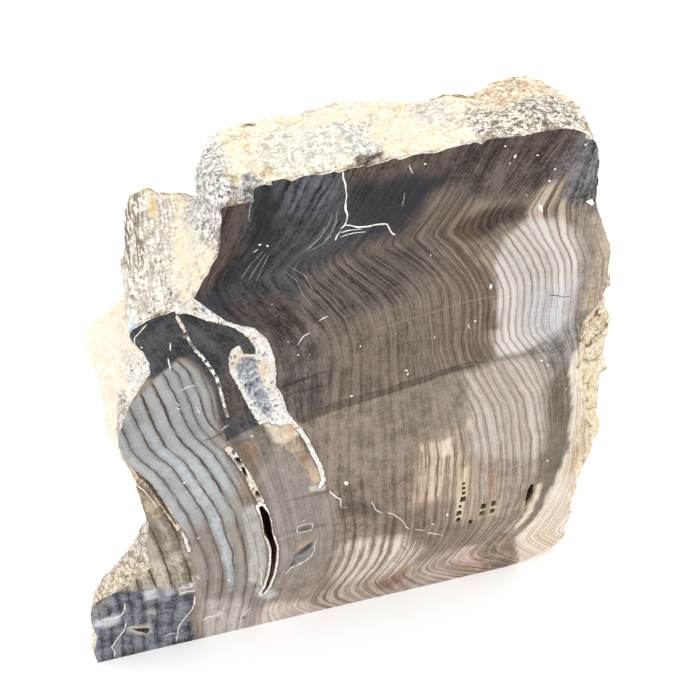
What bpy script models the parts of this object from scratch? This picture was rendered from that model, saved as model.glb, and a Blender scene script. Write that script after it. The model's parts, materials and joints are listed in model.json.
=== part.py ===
# A chunk of petrified wood that stands upright on a sawn base, with one face cut flat and polished.
# All sizes are in millimetres. x runs across the polished face, z runs up it, and y runs back into
# the stone. The polished face lies in the plane y = 0 and the sawn base in the plane z = 0.

import math

import bmesh
import bpy
from mathutils import Matrix, Vector, noise

MM = 0.001
NODE = "petrified_wood"

# The rough blank reaches this far past the base and the polished face, and the saw takes it off.
SAW_ALLOWANCE = 6.0
# Facet size of the blank before it is thinned, and the share of its triangles that then stays.
GRAIN = 1.6
KEPT_SHARE = 0.24
FLAT_WITHIN = 0.03

# The back of the stone bulges round this point, seen from the front.
BACK_CENTRE = Vector((6.0, 0.0, 60.0))
DEPTH_AT_BASE = 46.0
DEPTH_LOST_AT_TOP = 14.0
DEPTH_LOST_AT_SIDES = 12.0
TAPER_POWER = 1.4
BULGE_POWER = 0.7
HALF_WIDTH = 75.0
HEIGHT = 150.0

# Rings of the loft, as shares of the way from the edge of the face to the rim of the back,
# and from the rim of the back to its centre.
SIDE_STATIONS = (0.0, 0.1, 0.22, 0.36, 0.5, 0.64, 0.78, 0.9, 1.0)
BACK_STATIONS = (0.93, 0.84, 0.73, 0.61, 0.48, 0.35, 0.22, 0.1)

# Broken stone: broad lumps, scalloped chips and small knobs, as height and spacing. The wood's
# fibres run front to back, so the relief is drawn out along y by this much.
LUMP_HEIGHT = 2.2
LUMP_SPACING = 30.0
CHIP_HEIGHT = 1.7
CHIP_SPACING = 14.0
CHIP_BOWL = 1.9
CHIP_SINK = 0.7
KNOB_HEIGHT = 0.6
KNOB_SPACING = 5.5
FIBRE_STRETCH = 1.9
RELIEF_START = 0.6
RELIEF_FULL = 6.0
NOISE_OFFSET = Vector((31.7, 12.9, 57.3))

SLOT_DEPTH = 17.0
VEIN_DEPTH = 1.8
CRACK_DEPTH = 7.0
PIT_DEPTH = 2.2
SIDE_PIT_DEPTH = 4.5
POCKET_DEPTH = 1.2
WALL_SLOPE = 0.4
CUTTER_START = -2.0

# Each stretch of the outline has four rails, walked counter-clockwise as seen from the front:
# the edge of the polished face (x, z), the outermost edge of the stone just behind it, the middle
# of its side and the rim of its back (all x, y, z). "steps" is the number of facets along it.
STRETCHES = {
    "base": {
        "steps": 27,
        "face": [(-74.2, -SAW_ALLOWANCE), (44.0, -SAW_ALLOWANCE)],
        "edge": [(-75.0, 3, -SAW_ALLOWANCE), (46.0, 2, -SAW_ALLOWANCE)],
        "side": [(-74.5, 8, -SAW_ALLOWANCE), (-40, 18, -SAW_ALLOWANCE), (0, 22, -SAW_ALLOWANCE),
                 (50, 18, -SAW_ALLOWANCE)],
        "rim": [(-72.5, 15, -SAW_ALLOWANCE), (-58, 28, -SAW_ALLOWANCE), (-36, 37, -SAW_ALLOWANCE),
                (-8, 42, -SAW_ALLOWANCE), (22, 43, -SAW_ALLOWANCE), (50, 38, -SAW_ALLOWANCE)],
    },
    "right foot": {
        "steps": 8,
        "face": [(44.0, -SAW_ALLOWANCE), (49.0, -1.0), (53.5, 0.7), (59.1, 1.5), (65.7, 4.6)],
        "edge": [(46.0, 2, -SAW_ALLOWANCE), (52.0, 3, -3.5), (60.0, 4, -2.5), (68.9, 4, -3.0),
                 (73.7, 4, 0.5)],
        "side": [(50, 18, -SAW_ALLOWANCE), (62, 16, -SAW_ALLOWANCE), (74, 14, -SAW_ALLOWANCE)],
        "rim": [(50, 38, -SAW_ALLOWANCE), (62, 31, -SAW_ALLOWANCE), (69, 24, -SAW_ALLOWANCE)],
    },
    "right edge": {
        "steps": 24,
        "face": [(65.7, 4.6), (68.7, 12.3), (69.8, 24.9), (70.0, 38.2), (67.6, 42.6), (69.8, 52.3),
                 (68.5, 63.3), (65.0, 73.0), (61.5, 82.0), (60.2, 91.0), (59.6, 98.9), (63.2, 103.2),
                 (64.2, 110.0), (63.6, 117.0)],
        "edge": [(73.7, 4, 0.5), (76.6, 4, 6.5), (77.8, 4, 13.4), (76.0, 4, 21.5), (75.0, 4, 32.0),
                 (77.8, 4, 46.2), (76.4, 4, 56.0), (75.4, 5, 64.0), (75.6, 6, 76.6), (75.9, 6, 81.5),
                 (74.9, 6, 88.6), (72.7, 6, 96.6), (70.2, 5, 103.0), (69.4, 4, 108.5), (66.0, 2, 116.5)],
        "side": [(74, 14, -SAW_ALLOWANCE), (77, 15, 18), (78, 16, 44), (76, 17, 64), (75, 18, 82),
                 (71, 17, 100), (67, 16, 113)],
        "rim": [(69, 24, -SAW_ALLOWANCE), (70, 29, 16), (70, 32, 44), (67, 33, 68), (64, 32, 88),
                (60, 31, 104), (58, 30, 114)],
    },
    "right shoulder": {
        "steps": 8,
        "face": [(63.6, 117.0), (63.6, 119.8), (61.2, 123.8), (59.8, 127.4), (57.3, 131.2),
                 (56.3, 137.0), (55.4, 143.7), (53.6, 147.2)],
        "edge": [(66.0, 2, 116.5), (65.1, 1, 120.0), (62.2, 1, 124.0), (60.7, 1, 127.5),
                 (58.2, 1, 131.5), (57.2, 1, 137.0), (56.3, 1, 144.0), (54.4, 1, 148.0)],
        "side": [(67, 16, 113), (64.5, 15, 122), (61.0, 14, 133), (58.0, 14, 143), (56.6, 14, 149)],
        "rim": [(58, 30, 114), (57.5, 29, 125), (57, 28, 137), (53.0, 28, 148.5)],
    },
    "top": {
        "steps": 21,
        "face": [(53.6, 147.2), (51.2, 149.2), (49.1, 150.4), (44.9, 151.1), (38.2, 150.3),
                 (29.1, 150.6), (22.3, 149.6), (12.0, 149.0), (0.9, 147.6), (-11.8, 147.4),
                 (-22.3, 147.2)],
        "edge": [(54.4, 1, 148.0), (51.8, 1, 150.0), (49.4, 1, 151.2), (44.9, 1, 151.9),
                 (38.2, 1, 151.1), (29.1, 1, 151.3), (22.3, 1, 150.3), (12.0, 1, 149.7),
                 (0.9, 1, 148.4), (-11.8, 1, 148.2), (-22.6, 1, 148.0)],
        "side": [(56.6, 14, 149), (49, 15, 151.0), (38, 15, 149.8), (24, 15, 149.6), (8, 15, 150.0),
                 (-6, 14, 149.0), (-16, 13, 148.6), (-23.0, 12, 148.4)],
        "rim": [(53.0, 28, 148.0), (49.5, 29, 150.0), (44, 29, 149.2), (37, 28, 147.6),
                (21, 28, 147.8), (8, 29, 150.4), (-7, 28, 148.3), (-15, 27, 147.4), (-20.5, 25, 144.5)],
    },
    "step wall": {
        "steps": 8,
        "face": [(-22.3, 147.2), (-23.4, 141.5), (-24.0, 135.0), (-25.6, 131.1), (-28.0, 128.1),
                 (-29.8, 125.6), (-30.6, 123.0)],
        "edge": [(-22.6, 1, 148.0), (-24.0, 1, 141.6), (-24.6, 1, 135.2), (-26.2, 1, 131.6),
                 (-28.6, 1, 128.6), (-30.3, 1, 126.0), (-31.2, 1, 123.4)],
        "side": [(-23.0, 12, 148.4), (-26.3, 14, 145), (-26.8, 15, 139), (-26.4, 15, 134),
                 (-27.5, 15, 131.5), (-29.5, 15, 129.5)],
        "rim": [(-20.5, 25, 144.5), (-22.0, 27, 140), (-22.6, 28, 134), (-23.0, 29, 130.0),
                (-24.5, 30, 128.6)],
    },
    "shelf": {
        "steps": 6,
        "face": [(-30.6, 123.0), (-32.0, 121.4), (-35.7, 120.4), (-41.4, 119.6), (-42.8, 118.2),
                 (-45.4, 117.6)],
        "edge": [(-31.2, 1, 123.4), (-35.7, 1, 121.3), (-41.4, 1, 120.4), (-43.0, 1, 119.3),
                 (-45.9, 1, 118.2)],
        "side": [(-29.5, 15, 129.5), (-33.0, 15, 127.8), (-38.0, 15, 126.6), (-44.0, 15, 125.4)],
        "rim": [(-24.5, 30, 128.6), (-28.0, 30, 132.4), (-33.7, 30, 133.6), (-37.0, 30, 133.8),
                (-41.5, 30, 132.8)],
    },
    "left lobe": {
        "steps": 17,
        "face": [(-45.4, 117.6), (-44.1, 114.7), (-41.6, 109.6), (-41.9, 105.8), (-44.9, 102.4),
                 (-48.1, 97.9), (-50.6, 92.5), (-52.7, 87.8), (-52.8, 84.0), (-51.2, 78.8),
                 (-49.7, 75.0)],
        "edge": [(-45.9, 1, 118.2), (-45.6, 2, 114.5), (-45.0, 4, 109.5), (-46.0, 5, 105.5),
                 (-47.6, 4, 101.5), (-49.8, 3, 97.0), (-51.8, 2, 92.0), (-53.6, 2, 87.5),
                 (-53.6, 2, 83.6), (-52.2, 2, 78.0), (-51.0, 2, 74.6)],
        "side": [(-44.0, 15, 125.4), (-43.2, 16, 117.5), (-44.4, 17, 113.5), (-49.5, 18, 111.0),
                 (-54.2, 18, 107.5), (-56.6, 18, 101.0), (-57.0, 18, 92.0), (-56.0, 18, 79.0),
                 (-54.2, 17, 68.0)],
        "rim": [(-41.5, 30, 132.8), (-42.5, 31, 120.0), (-43.5, 32, 110.0), (-47.0, 33, 101.0),
                (-50.5, 33, 95.0), (-52.0, 33, 85.0), (-51.0, 32, 73.0), (-50.0, 31, 64.0)],
    },
    "spur": {
        "steps": 8,
        "face": [(-49.7, 75.0), (-51.2, 75.0), (-51.3, 71.0), (-50.9, 61.8), (-50.6, 56.0),
                 (-51.1, 51.1), (-52.5, 46.8), (-52.2, 40.6), (-52.6, 37.0)],
        "edge": [(-51.0, 2, 74.6), (-51.8, 1, 73.6), (-51.6, 2, 68.0), (-51.3, 3, 60.0),
                 (-51.1, 3, 56.0), (-54.4, 3, 52.4), (-55.0, 4, 47.2), (-56.1, 4, 44.0)],
        "side": [(-54.2, 17, 68.0), (-51.4, 15, 58.0), (-50.8, 14, 50.0), (-51.6, 13, 42.0),
                 (-54.0, 13, 36.0)],
        "rim": [(-50.0, 31, 64.0), (-49.0, 30, 52.0), (-49.8, 29, 42.0), (-52.0, 28, 31.0)],
    },
    "left block": {
        "steps": 12,
        "face": [(-52.6, 37.0), (-56.5, 35.2), (-60.5, 31.7), (-68.2, 29.9), (-71.2, 27.0),
                 (-72.2, 19.4), (-71.6, 11.2), (-74.2, 7.2), (-74.2, -SAW_ALLOWANCE)],
        "edge": [(-56.1, 4, 44.0), (-58.9, 4, 39.6), (-62.3, 4, 39.0), (-67.2, 4, 34.8),
                 (-70.6, 4, 28.4), (-72.6, 4, 20.3), (-74.3, 4, 11.0), (-75.2, 3, 4.0),
                 (-75.0, 3, -SAW_ALLOWANCE)],
        "side": [(-54.0, 13, 36.0), (-58.5, 12, 29.5), (-65.0, 11, 24.5), (-70.4, 10, 17.5),
                 (-73.6, 9, 8.5), (-74.5, 8, -SAW_ALLOWANCE)],
        "rim": [(-52.0, 28, 31.0), (-56.0, 27, 21.0), (-61.0, 24, 14.5), (-66.5, 20, 8.5),
                (-70.5, 17, 3.0), (-72.5, 15, -SAW_ALLOWANCE)],
    },
}

# Hollows in the polished face, as outlines (x, z).
SLOT = [(-22.2, 55.6), (-22.1, 51.4), (-21.9, 46.0), (-21.2, 39.8), (-20.6, 35.3), (-21.0, 29.5),
        (-22.2, 23.8), (-24.8, 15.6), (-23.6, 16.6), (-21.6, 19.8), (-20.3, 24.3), (-19.4, 30.1),
        (-18.9, 35.9), (-19.2, 40.5), (-19.5, 48.4), (-20.4, 55.0)]
VEIN = [(-26.0, 104.5), (-24.9, 108.6), (-22.9, 109.6), (-21.6, 106.6), (-19.2, 106.0), (-19.2, 109.8),
        (-20.8, 112.6), (-17.8, 110.6), (-16.0, 104.6), (-16.2, 99.0), (-16.4, 94.4), (-14.8, 90.6),
        (-14.2, 86.4), (-18.6, 85.0), (-21.4, 91.0), (-22.8, 96.4), (-25.0, 101.2)]
CRACK = [(-51.6, 75.6), (-49.9, 76.2), (-48.0, 71.8), (-46.4, 66.2), (-45.0, 61.6), (-43.7, 54.6),
         (-44.4, 54.0), (-46.1, 60.2), (-47.6, 64.6), (-49.0, 70.2)]
SIDE_PIT = [(55.2, 29.4), (56.4, 30.0), (58.2, 34.3), (58.4, 38.2), (56.9, 39.6), (56.2, 35.0)]
LENS_POCKET = [(-16.7, 24.1), (-16.0, 31.1), (-12.4, 34.9), (-9.0, 36.0), (-8.2, 33.8),
               (-9.2, 29.1), (-12.8, 25.6)]
BLOCK_POCKET = [(-62.3, 14.1), (-61.1, 11.0), (-58.7, 8.3), (-57.0, 10.3), (-57.3, 12.0), (-59.7, 12.9)]
SMALL_PITS = [
    [(34.2, 36.0), (35.9, 34.8), (35.8, 31.0), (34.8, 29.8)],
    [(38.1, 32.0), (40.0, 29.4), (39.5, 26.6), (38.1, 28.5)],
    [(41.5, 34.6), (43.3, 33.2), (43.1, 29.8), (41.5, 30.0)],
    [(43.9, 36.6), (46.3, 34.3), (45.4, 31.8), (44.2, 33.0)],
    [(33.9, 46.0), (35.9, 45.8), (35.2, 40.4), (33.8, 40.6)],
    [(-28.6, 78.0), (-27.0, 77.2), (-25.6, 74.0), (-26.8, 73.0)],
    [(-26.2, 71.6), (-25.0, 71.4), (-23.9, 68.0), (-25.2, 67.4)],
]
# The upper left corner is broken away in two small ledges: right end, floor height and depth.
LEDGES = [(-17.2, 143.9, 1.5), (-13.6, 147.0, 4.6)]
LEDGE_LEFT = -32.0
LEDGE_TOP = 156.0
LEDGE_TURN = math.radians(4.0)


def clearScene():
    for item in list(bpy.data.objects):
        bpy.data.objects.remove(item, do_unlink=True)


def spread(points, steps):
    # Points at even distances along a polyline, its last point left to the next stretch.
    corners = [Vector(point) for point in points]
    reach = [0.0]
    for here, there in zip(corners, corners[1:]):
        reach.append(reach[-1] + (there - here).length)
    spots = []
    leg = 0
    for step in range(steps):
        goal = reach[-1] * step / steps
        while reach[leg + 1] < goal:
            leg += 1
        share = (goal - reach[leg]) / (reach[leg + 1] - reach[leg])
        spots.append(corners[leg].lerp(corners[leg + 1], share))
    return spots


def rails():
    # The four rails right round the stone, one point for each facet.
    face, edge, side, rim = [], [], [], []
    for stretch in STRETCHES.values():
        steps = stretch["steps"]
        face += [Vector((x, 0.0, z)) for x, z in spread(stretch["face"], steps)]
        edge += spread(stretch["edge"], steps)
        side += spread(stretch["side"], steps)
        rim += spread(stretch["rim"], steps)
    return face, edge, side, rim


def sideRing(edge, side, rim, share):
    # A ring of the side, on the arc from the edge through the middle of the side to the rim.
    near = (1.0 - share) * (1.0 - 2.0 * share)
    middle = 4.0 * share * (1.0 - share)
    far = share * (2.0 * share - 1.0)
    return [a * near + b * middle + c * far for a, b, c in zip(edge, side, rim)]


def backDepth(x, z):
    across = (x - BACK_CENTRE.x) / HALF_WIDTH
    upward = max(0.0, z) / HEIGHT
    lost = DEPTH_LOST_AT_TOP * upward ** TAPER_POWER + DEPTH_LOST_AT_SIDES * across * across
    return DEPTH_AT_BASE - lost


def backRing(rim, share):
    # A ring of the back, drawn in from the rim towards the centre and bulging out to its depth.
    bulge = (1.0 - share * share) ** BULGE_POWER
    ring = []
    for point in rim:
        spot = BACK_CENTRE.lerp(point, share)
        deep = backDepth(spot.x, spot.z)
        ring.append(Vector((spot.x, point.y + (deep - point.y) * bulge, spot.z)))
    return ring


def bridge(mesh, front, behind):
    count = len(front)
    for index in range(count):
        after = (index + 1) % count
        mesh.faces.new((front[index], behind[index], behind[after], front[after]))


def roughBlank():
    face, edge, side, rim = rails()
    proud = [point - Vector((0.0, SAW_ALLOWANCE, 0.0)) for point in face]
    rings = [proud, face]
    rings += [sideRing(edge, side, rim, share) for share in SIDE_STATIONS]
    rings += [backRing(rim, share) for share in BACK_STATIONS]
    mesh = bmesh.new()
    loops = [[mesh.verts.new(point) for point in ring] for ring in rings]
    mesh.faces.new(loops[0])
    for front, behind in zip(loops, loops[1:]):
        bridge(mesh, front, behind)
    deepest = mesh.verts.new((BACK_CENTRE.x, backDepth(BACK_CENTRE.x, BACK_CENTRE.z), BACK_CENTRE.z))
    last = loops[-1]
    for index, corner in enumerate(last):
        mesh.faces.new((corner, deepest, last[(index + 1) % len(last)]))
    bmesh.ops.recalc_face_normals(mesh, faces=mesh.faces)
    return addObject("blank", mesh)


def evaluated(item):
    # The object's mesh with its modifiers worked in, as a bmesh; the object itself goes.
    graph = bpy.context.evaluated_depsgraph_get()
    data = bpy.data.meshes.new_from_object(item.evaluated_get(graph))
    mesh = bmesh.new()
    mesh.from_mesh(data)
    bpy.data.meshes.remove(data)
    bpy.data.objects.remove(item, do_unlink=True)
    return mesh


def evenFacets(blank):
    remesh = blank.modifiers.new("even_facets", "REMESH")
    remesh.mode = "VOXEL"
    remesh.voxel_size = GRAIN
    remesh.adaptivity = 0.0
    return evaluated(blank)


def thinned(blank):
    thin = blank.modifiers.new("thin", "DECIMATE")
    thin.ratio = KEPT_SHARE
    return evaluated(blank)


def chipHeight(point):
    # Shallow bowls that meet in sharp ridges, as flakes leave on broken stone.
    distances, centres = noise.voronoi(point / CHIP_SPACING + NOISE_OFFSET)
    return min(1.0, CHIP_BOWL * distances[0] * distances[0] - CHIP_SINK)


def breakSurface(mesh):
    # The broken relief fades out at the edge of the polished face, which stays flat.
    mesh.normal_update()
    moves = {}
    for vert in mesh.verts:
        point = vert.co
        fade = (point.y - RELIEF_START) / (RELIEF_FULL - RELIEF_START)
        fade = max(0.0, min(1.0, fade))
        if fade == 0.0:
            continue
        point = Vector((point.x, point.y / FIBRE_STRETCH, point.z))
        height = LUMP_HEIGHT * noise.noise(point / LUMP_SPACING + NOISE_OFFSET)
        height += CHIP_HEIGHT * chipHeight(point)
        height += KNOB_HEIGHT * noise.noise(point / KNOB_SPACING - NOISE_OFFSET)
        moves[vert] = vert.normal * (height * fade)
    for vert, move in moves.items():
        vert.co += move


def sawOff(mesh, inward):
    # Saws the blank along a plane through the origin and closes it with one flat face.
    geometry = mesh.verts[:] + mesh.edges[:] + mesh.faces[:]
    cut = bmesh.ops.bisect_plane(mesh, geom=geometry, dist=1e-3, plane_co=(0, 0, 0),
                                 plane_no=inward, clear_inner=True)
    rim = [item for item in cut["geom_cut"] if isinstance(item, bmesh.types.BMEdge)]
    bmesh.ops.contextual_create(mesh, geom=rim)


def flatten(mesh):
    # Brings the corners that thinning left a hair off the two sawn planes back onto them.
    for vert in mesh.verts:
        if abs(vert.co.y) < FLAT_WITHIN:
            vert.co.y = 0.0
        if abs(vert.co.z) < FLAT_WITHIN:
            vert.co.z = 0.0


def stoneMaterial():
    material = bpy.data.materials.new("petrified_wood")
    material.use_nodes = True
    shader = material.node_tree.nodes["Principled BSDF"]
    shader.inputs["Base Color"].default_value = (0.36, 0.30, 0.25, 1.0)
    shader.inputs["Roughness"].default_value = 0.4
    shader.inputs["Metallic"].default_value = 0.0
    return material


def addObject(name, mesh):
    data = bpy.data.meshes.new(name)
    mesh.to_mesh(data)
    mesh.free()
    item = bpy.data.objects.new(name, data)
    bpy.context.scene.collection.objects.link(item)
    return item


def hollowCutter(name, outline, depth, wallSlope):
    # A prism that enters through the polished face, its floor drawn in by the slope of its walls.
    mesh = bmesh.new()
    mouth = mesh.faces.new([mesh.verts.new((x, CUTTER_START, z)) for x, z in outline])
    sunk = bmesh.ops.extrude_face_region(mesh, geom=[mouth])
    floor = [item for item in sunk["geom"] if isinstance(item, bmesh.types.BMFace)]
    corners = [item for item in sunk["geom"] if isinstance(item, bmesh.types.BMVert)]
    bmesh.ops.translate(mesh, verts=corners, vec=(0.0, depth - CUTTER_START, 0.0))
    if wallSlope > 0.0:
        bmesh.ops.inset_region(mesh, faces=floor, thickness=wallSlope, depth=0.0)
        for face in floor:
            for vert in face.verts:
                vert.co.y += wallSlope
    bmesh.ops.recalc_face_normals(mesh, faces=mesh.faces)
    return addObject(name, mesh)


def ledgeCutter(name, end, floor, depth):
    mesh = bmesh.new()
    bmesh.ops.create_cube(mesh, size=1.0)
    size = Vector((end - LEDGE_LEFT, depth - CUTTER_START, LEDGE_TOP - floor))
    middle = Vector((LEDGE_LEFT + end, depth + CUTTER_START, LEDGE_TOP + floor)) / 2.0
    bmesh.ops.scale(mesh, vec=size, verts=mesh.verts)
    bmesh.ops.rotate(mesh, verts=mesh.verts, matrix=Matrix.Rotation(LEDGE_TURN, 3, "Z"))
    bmesh.ops.translate(mesh, verts=mesh.verts, vec=middle)
    return addObject(name, mesh)


def cutWith(stone, cutter):
    cutter.hide_render = True
    cutter.display_type = "WIRE"
    cut = stone.modifiers.new(cutter.name, "BOOLEAN")
    cut.operation = "DIFFERENCE"
    cut.solver = "EXACT"
    cut.object = cutter


def stone():
    mesh = evenFacets(roughBlank())
    breakSurface(mesh)
    sawOff(mesh, (0, 1, 0))
    sawOff(mesh, (0, 0, 1))
    bmesh.ops.triangulate(mesh, faces=mesh.faces)
    mesh = thinned(addObject("sawn_blank", mesh))
    flatten(mesh)
    item = addObject(NODE, mesh)
    item.data.materials.append(stoneMaterial())
    cutters = [
        hollowCutter("cut_slot", SLOT, SLOT_DEPTH, 0.0),
        hollowCutter("cut_vein", VEIN, VEIN_DEPTH, WALL_SLOPE),
        hollowCutter("cut_crack", CRACK, CRACK_DEPTH, 0.0),
        hollowCutter("cut_side_pit", SIDE_PIT, SIDE_PIT_DEPTH, 0.0),
        hollowCutter("cut_lens_pocket", LENS_POCKET, POCKET_DEPTH, WALL_SLOPE),
        hollowCutter("cut_block_pocket", BLOCK_POCKET, PIT_DEPTH, WALL_SLOPE),
    ]
    for number, (end, floor, depth) in enumerate(LEDGES, 1):
        cutters.append(ledgeCutter("cut_ledge_%d" % number, end, floor, depth))
    for number, outline in enumerate(SMALL_PITS, 1):
        cutters.append(hollowCutter("cut_pit_%d" % number, outline, PIT_DEPTH, 0.0))
    for cutter in cutters:
        cutWith(item, cutter)
    return item, cutters


def placeInRow(items, lead):
    # Metres, with the origin under the middle of the stone's box, on the base.
    low = Vector([min(vert.co[axis] for vert in lead.data.vertices) for axis in range(3)])
    high = Vector([max(vert.co[axis] for vert in lead.data.vertices) for axis in range(3)])
    middle = (low + high) / 2.0
    move = Matrix.Scale(MM, 4) @ Matrix.Translation((-middle.x, -middle.y, 0.0))
    for item in items:
        item.data.transform(move)


def main():
    clearScene()
    item, cutters = stone()
    placeInRow([item] + cutters, item)


main()
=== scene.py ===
# A chunk of petrified wood that stands on its sawn base, one face cut flat and polished.
# Places on the polished face are in millimetres: x across it, z up it, y back into the stone.

import json
import math

import bpy
import numpy as np
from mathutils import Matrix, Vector

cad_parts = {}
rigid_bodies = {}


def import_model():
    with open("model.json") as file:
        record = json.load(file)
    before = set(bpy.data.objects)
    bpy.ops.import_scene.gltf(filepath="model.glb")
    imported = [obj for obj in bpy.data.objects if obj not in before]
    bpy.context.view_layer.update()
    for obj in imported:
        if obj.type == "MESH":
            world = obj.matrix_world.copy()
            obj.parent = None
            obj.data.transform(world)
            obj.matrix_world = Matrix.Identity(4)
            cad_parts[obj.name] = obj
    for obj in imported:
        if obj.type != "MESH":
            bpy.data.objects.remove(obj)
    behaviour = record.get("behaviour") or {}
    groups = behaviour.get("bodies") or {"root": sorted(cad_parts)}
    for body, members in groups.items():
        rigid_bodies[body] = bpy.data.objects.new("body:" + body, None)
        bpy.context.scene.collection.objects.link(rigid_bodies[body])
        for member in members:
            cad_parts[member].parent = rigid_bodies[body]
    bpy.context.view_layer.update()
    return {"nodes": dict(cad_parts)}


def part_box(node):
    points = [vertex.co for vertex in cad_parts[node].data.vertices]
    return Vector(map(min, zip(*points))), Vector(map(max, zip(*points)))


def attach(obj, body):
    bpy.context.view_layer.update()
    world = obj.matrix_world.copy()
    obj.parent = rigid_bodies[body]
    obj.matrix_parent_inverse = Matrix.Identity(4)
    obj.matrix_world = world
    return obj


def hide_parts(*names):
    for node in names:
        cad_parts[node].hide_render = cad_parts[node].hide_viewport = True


bpy.ops.object.select_all(action="SELECT")
bpy.ops.object.delete()
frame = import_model()
print("frame loaded")

mm = 0.001
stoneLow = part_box("petrified_wood")[0]
chartStart = 75.12  # from the left end of the stone to x 0 of the face
chart = Vector((stoneLow.x + chartStart * mm, stoneLow.y, 0.0))  # x 0, y 0, z 0 of the face
flatWithin = 0.06 * mm  # a corner of the CAD solid this near to a sawn plane lies on it


def at(x, z, depth=0.0):
    return chart + Vector((x, depth, z)) * mm


def pickOnly(item, *others):
    # Selects these objects and nothing else, the first one active.
    bpy.ops.object.select_all(action="DESELECT")
    for picked in (item, *others):
        picked.select_set(True)
    bpy.context.view_layer.objects.active = item


def addToScene(item):
    bpy.context.scene.collection.objects.link(item)
    return item


def addModifier(item, kind, **settings):
    # Adds a modifier with its settings and applies it.
    pickOnly(item)
    bpy.ops.object.modifier_add(type=kind)
    modifier = item.modifiers[-1]
    for name, value in settings.items():
        setattr(modifier, name, value)
    bpy.ops.object.modifier_apply(modifier=modifier.name)


def editAll(item):
    # Opens a piece in edit mode with all of it selected.
    pickOnly(item)
    bpy.ops.object.mode_set(mode="EDIT")
    bpy.ops.mesh.select_all(action="SELECT")


def selectFaces(item, test):
    # Leaves the faces that pass the test selected, in edit mode.
    pickOnly(item)
    bpy.ops.object.mode_set(mode="EDIT")
    bpy.ops.mesh.select_mode(type="FACE")
    bpy.ops.mesh.select_all(action="DESELECT")
    bpy.ops.object.mode_set(mode="OBJECT")
    for face in item.data.polygons:
        face.select = test(face)
    bpy.ops.object.mode_set(mode="EDIT")


def extrudeBy(x, y, z):
    bpy.ops.mesh.extrude_region_move(TRANSFORM_OT_translate={"value": (x * mm, y * mm, z * mm)})


def closeBlock(item, x=0.0, y=0.0, z=0.0):
    # Extrudes a sheet into a closed block whose faces point outwards.
    editAll(item)
    extrudeBy(x, y, z)
    bpy.ops.mesh.select_all(action="SELECT")
    bpy.ops.mesh.normals_make_consistent(inside=False)
    bpy.ops.object.mode_set(mode="OBJECT")


def chartPoints(item):
    # The corners of a piece as x, y, z columns in millimetres of the chart.
    spots = np.empty(len(item.data.vertices) * 3)
    item.data.vertices.foreach_get("co", spots)
    return ((spots.reshape(-1, 3) - np.array(chart)) / mm).T


def placePoints(item, x, y, z):
    spots = np.stack([x, y, z], -1) * mm + np.array(chart)
    item.data.vertices.foreach_set("co", spots.ravel())
    item.data.update()


scatter = {"u": 127.1, "v": 311.7, "seed": 74.7, "stretch": 43758.5453}  # turns places into chance


def softNoise(u, v, seed):
    # Smooth noise from -1 to 1 over two numbers.
    left, low = np.floor(u), np.floor(v)
    across, up = u - left, v - low
    across, up = across * across * (3 - 2 * across), up * up * (3 - 2 * up)

    def corner(a, b):
        spin = np.sin(a * scatter["u"] + b * scatter["v"] + seed * scatter["seed"]) * scatter["stretch"]
        return (spin - np.floor(spin)) * 2 - 1

    lower = corner(left, low) * (1 - across) + corner(left + 1, low) * across
    upper = corner(left, low + 1) * (1 - across) + corner(left + 1, low + 1) * across
    return lower * (1 - up) + upper * up


def pathDistance(x, z, path, closed=False):
    # Distance from each spot to a path of points.
    corners = np.array(list(path) + ([path[0]] if closed else []), float)
    best = np.full(x.shape, np.inf)
    for (ax, az), (bx, bz) in zip(corners, corners[1:]):
        run = max((bx - ax) ** 2 + (bz - az) ** 2, 1e-9)
        share = np.clip(((x - ax) * (bx - ax) + (z - az) * (bz - az)) / run, 0, 1)
        best = np.minimum(best, np.hypot(x - ax - share * (bx - ax), z - az - share * (bz - az)))
    return best


def insideBy(x, z, outline):
    # How far inside an outline each spot lies, below zero outside it.
    corners = np.array(outline, float)
    inside = np.zeros(x.shape, bool)
    for (ax, az), (bx, bz) in zip(corners, np.roll(corners, -1, 0)):
        if az != bz:
            inside ^= ((az > z) != (bz > z)) & (x < (bx - ax) * (z - az) / (bz - az) + ax)
    return np.where(inside, 1, -1) * pathDistance(x, z, outline, closed=True)


def awayFrom(spot, centre, reach, power):
    # 0 at the centre of a rounded region and 1 at its edge. A higher power makes it more like a box.
    parts = [((part - middle) / size) ** power for part, middle, size in zip(spot, centre, reach)]
    return sum(parts) ** (1 / power)


def ease(value, start, end):
    share = np.clip((value - start) / (end - start), 0, 1)
    return share * share * (3 - 2 * share)


# Camera, light and floor. The camera's place is on the chart, its angles are in degrees.
view = {"x": -33.89, "z": 220.17, "forward": -135.14, "tilt": 50.0, "turn": -14.88, "lens": 41.14,
        "nearest": 0.01}
bpy.ops.object.camera_add(location=at(view["x"], view["z"], view["forward"]),
                          rotation=(math.radians(view["tilt"]), 0, math.radians(view["turn"])))
camera = bpy.context.object
camera.name = "photoCamera"
camera.data.lens = view["lens"]
camera.data.clip_start = view["nearest"]
bpy.context.scene.camera = camera

light = {"sky": 1.27, "overhead": 9.0, "size": 1.6, "place": (0.15, 0.35, 1.3), "colour": (1, 0.985, 0.96),
         "floor": 3.0}
world = bpy.data.worlds.new("paleStudio")
bpy.context.scene.world = world
world.use_nodes = True
sky = world.node_tree.nodes["Background"].inputs
sky["Color"].default_value = (1, 1, 1, 1)
sky["Strength"].default_value = light["sky"]
bpy.ops.object.light_add(type="AREA", location=light["place"])
overhead = bpy.context.object
overhead.name = "overheadPanel"
overhead.data.size = light["size"]
overhead.data.energy = light["overhead"]
overhead.data.color = light["colour"]
bpy.context.scene.view_settings.view_transform = "Standard"

bpy.ops.mesh.primitive_plane_add(size=light["floor"], location=(0, 0, 0))
floor = bpy.context.object
floor.name = "whiteFloor"
print("camera, light and floor placed")

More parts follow.
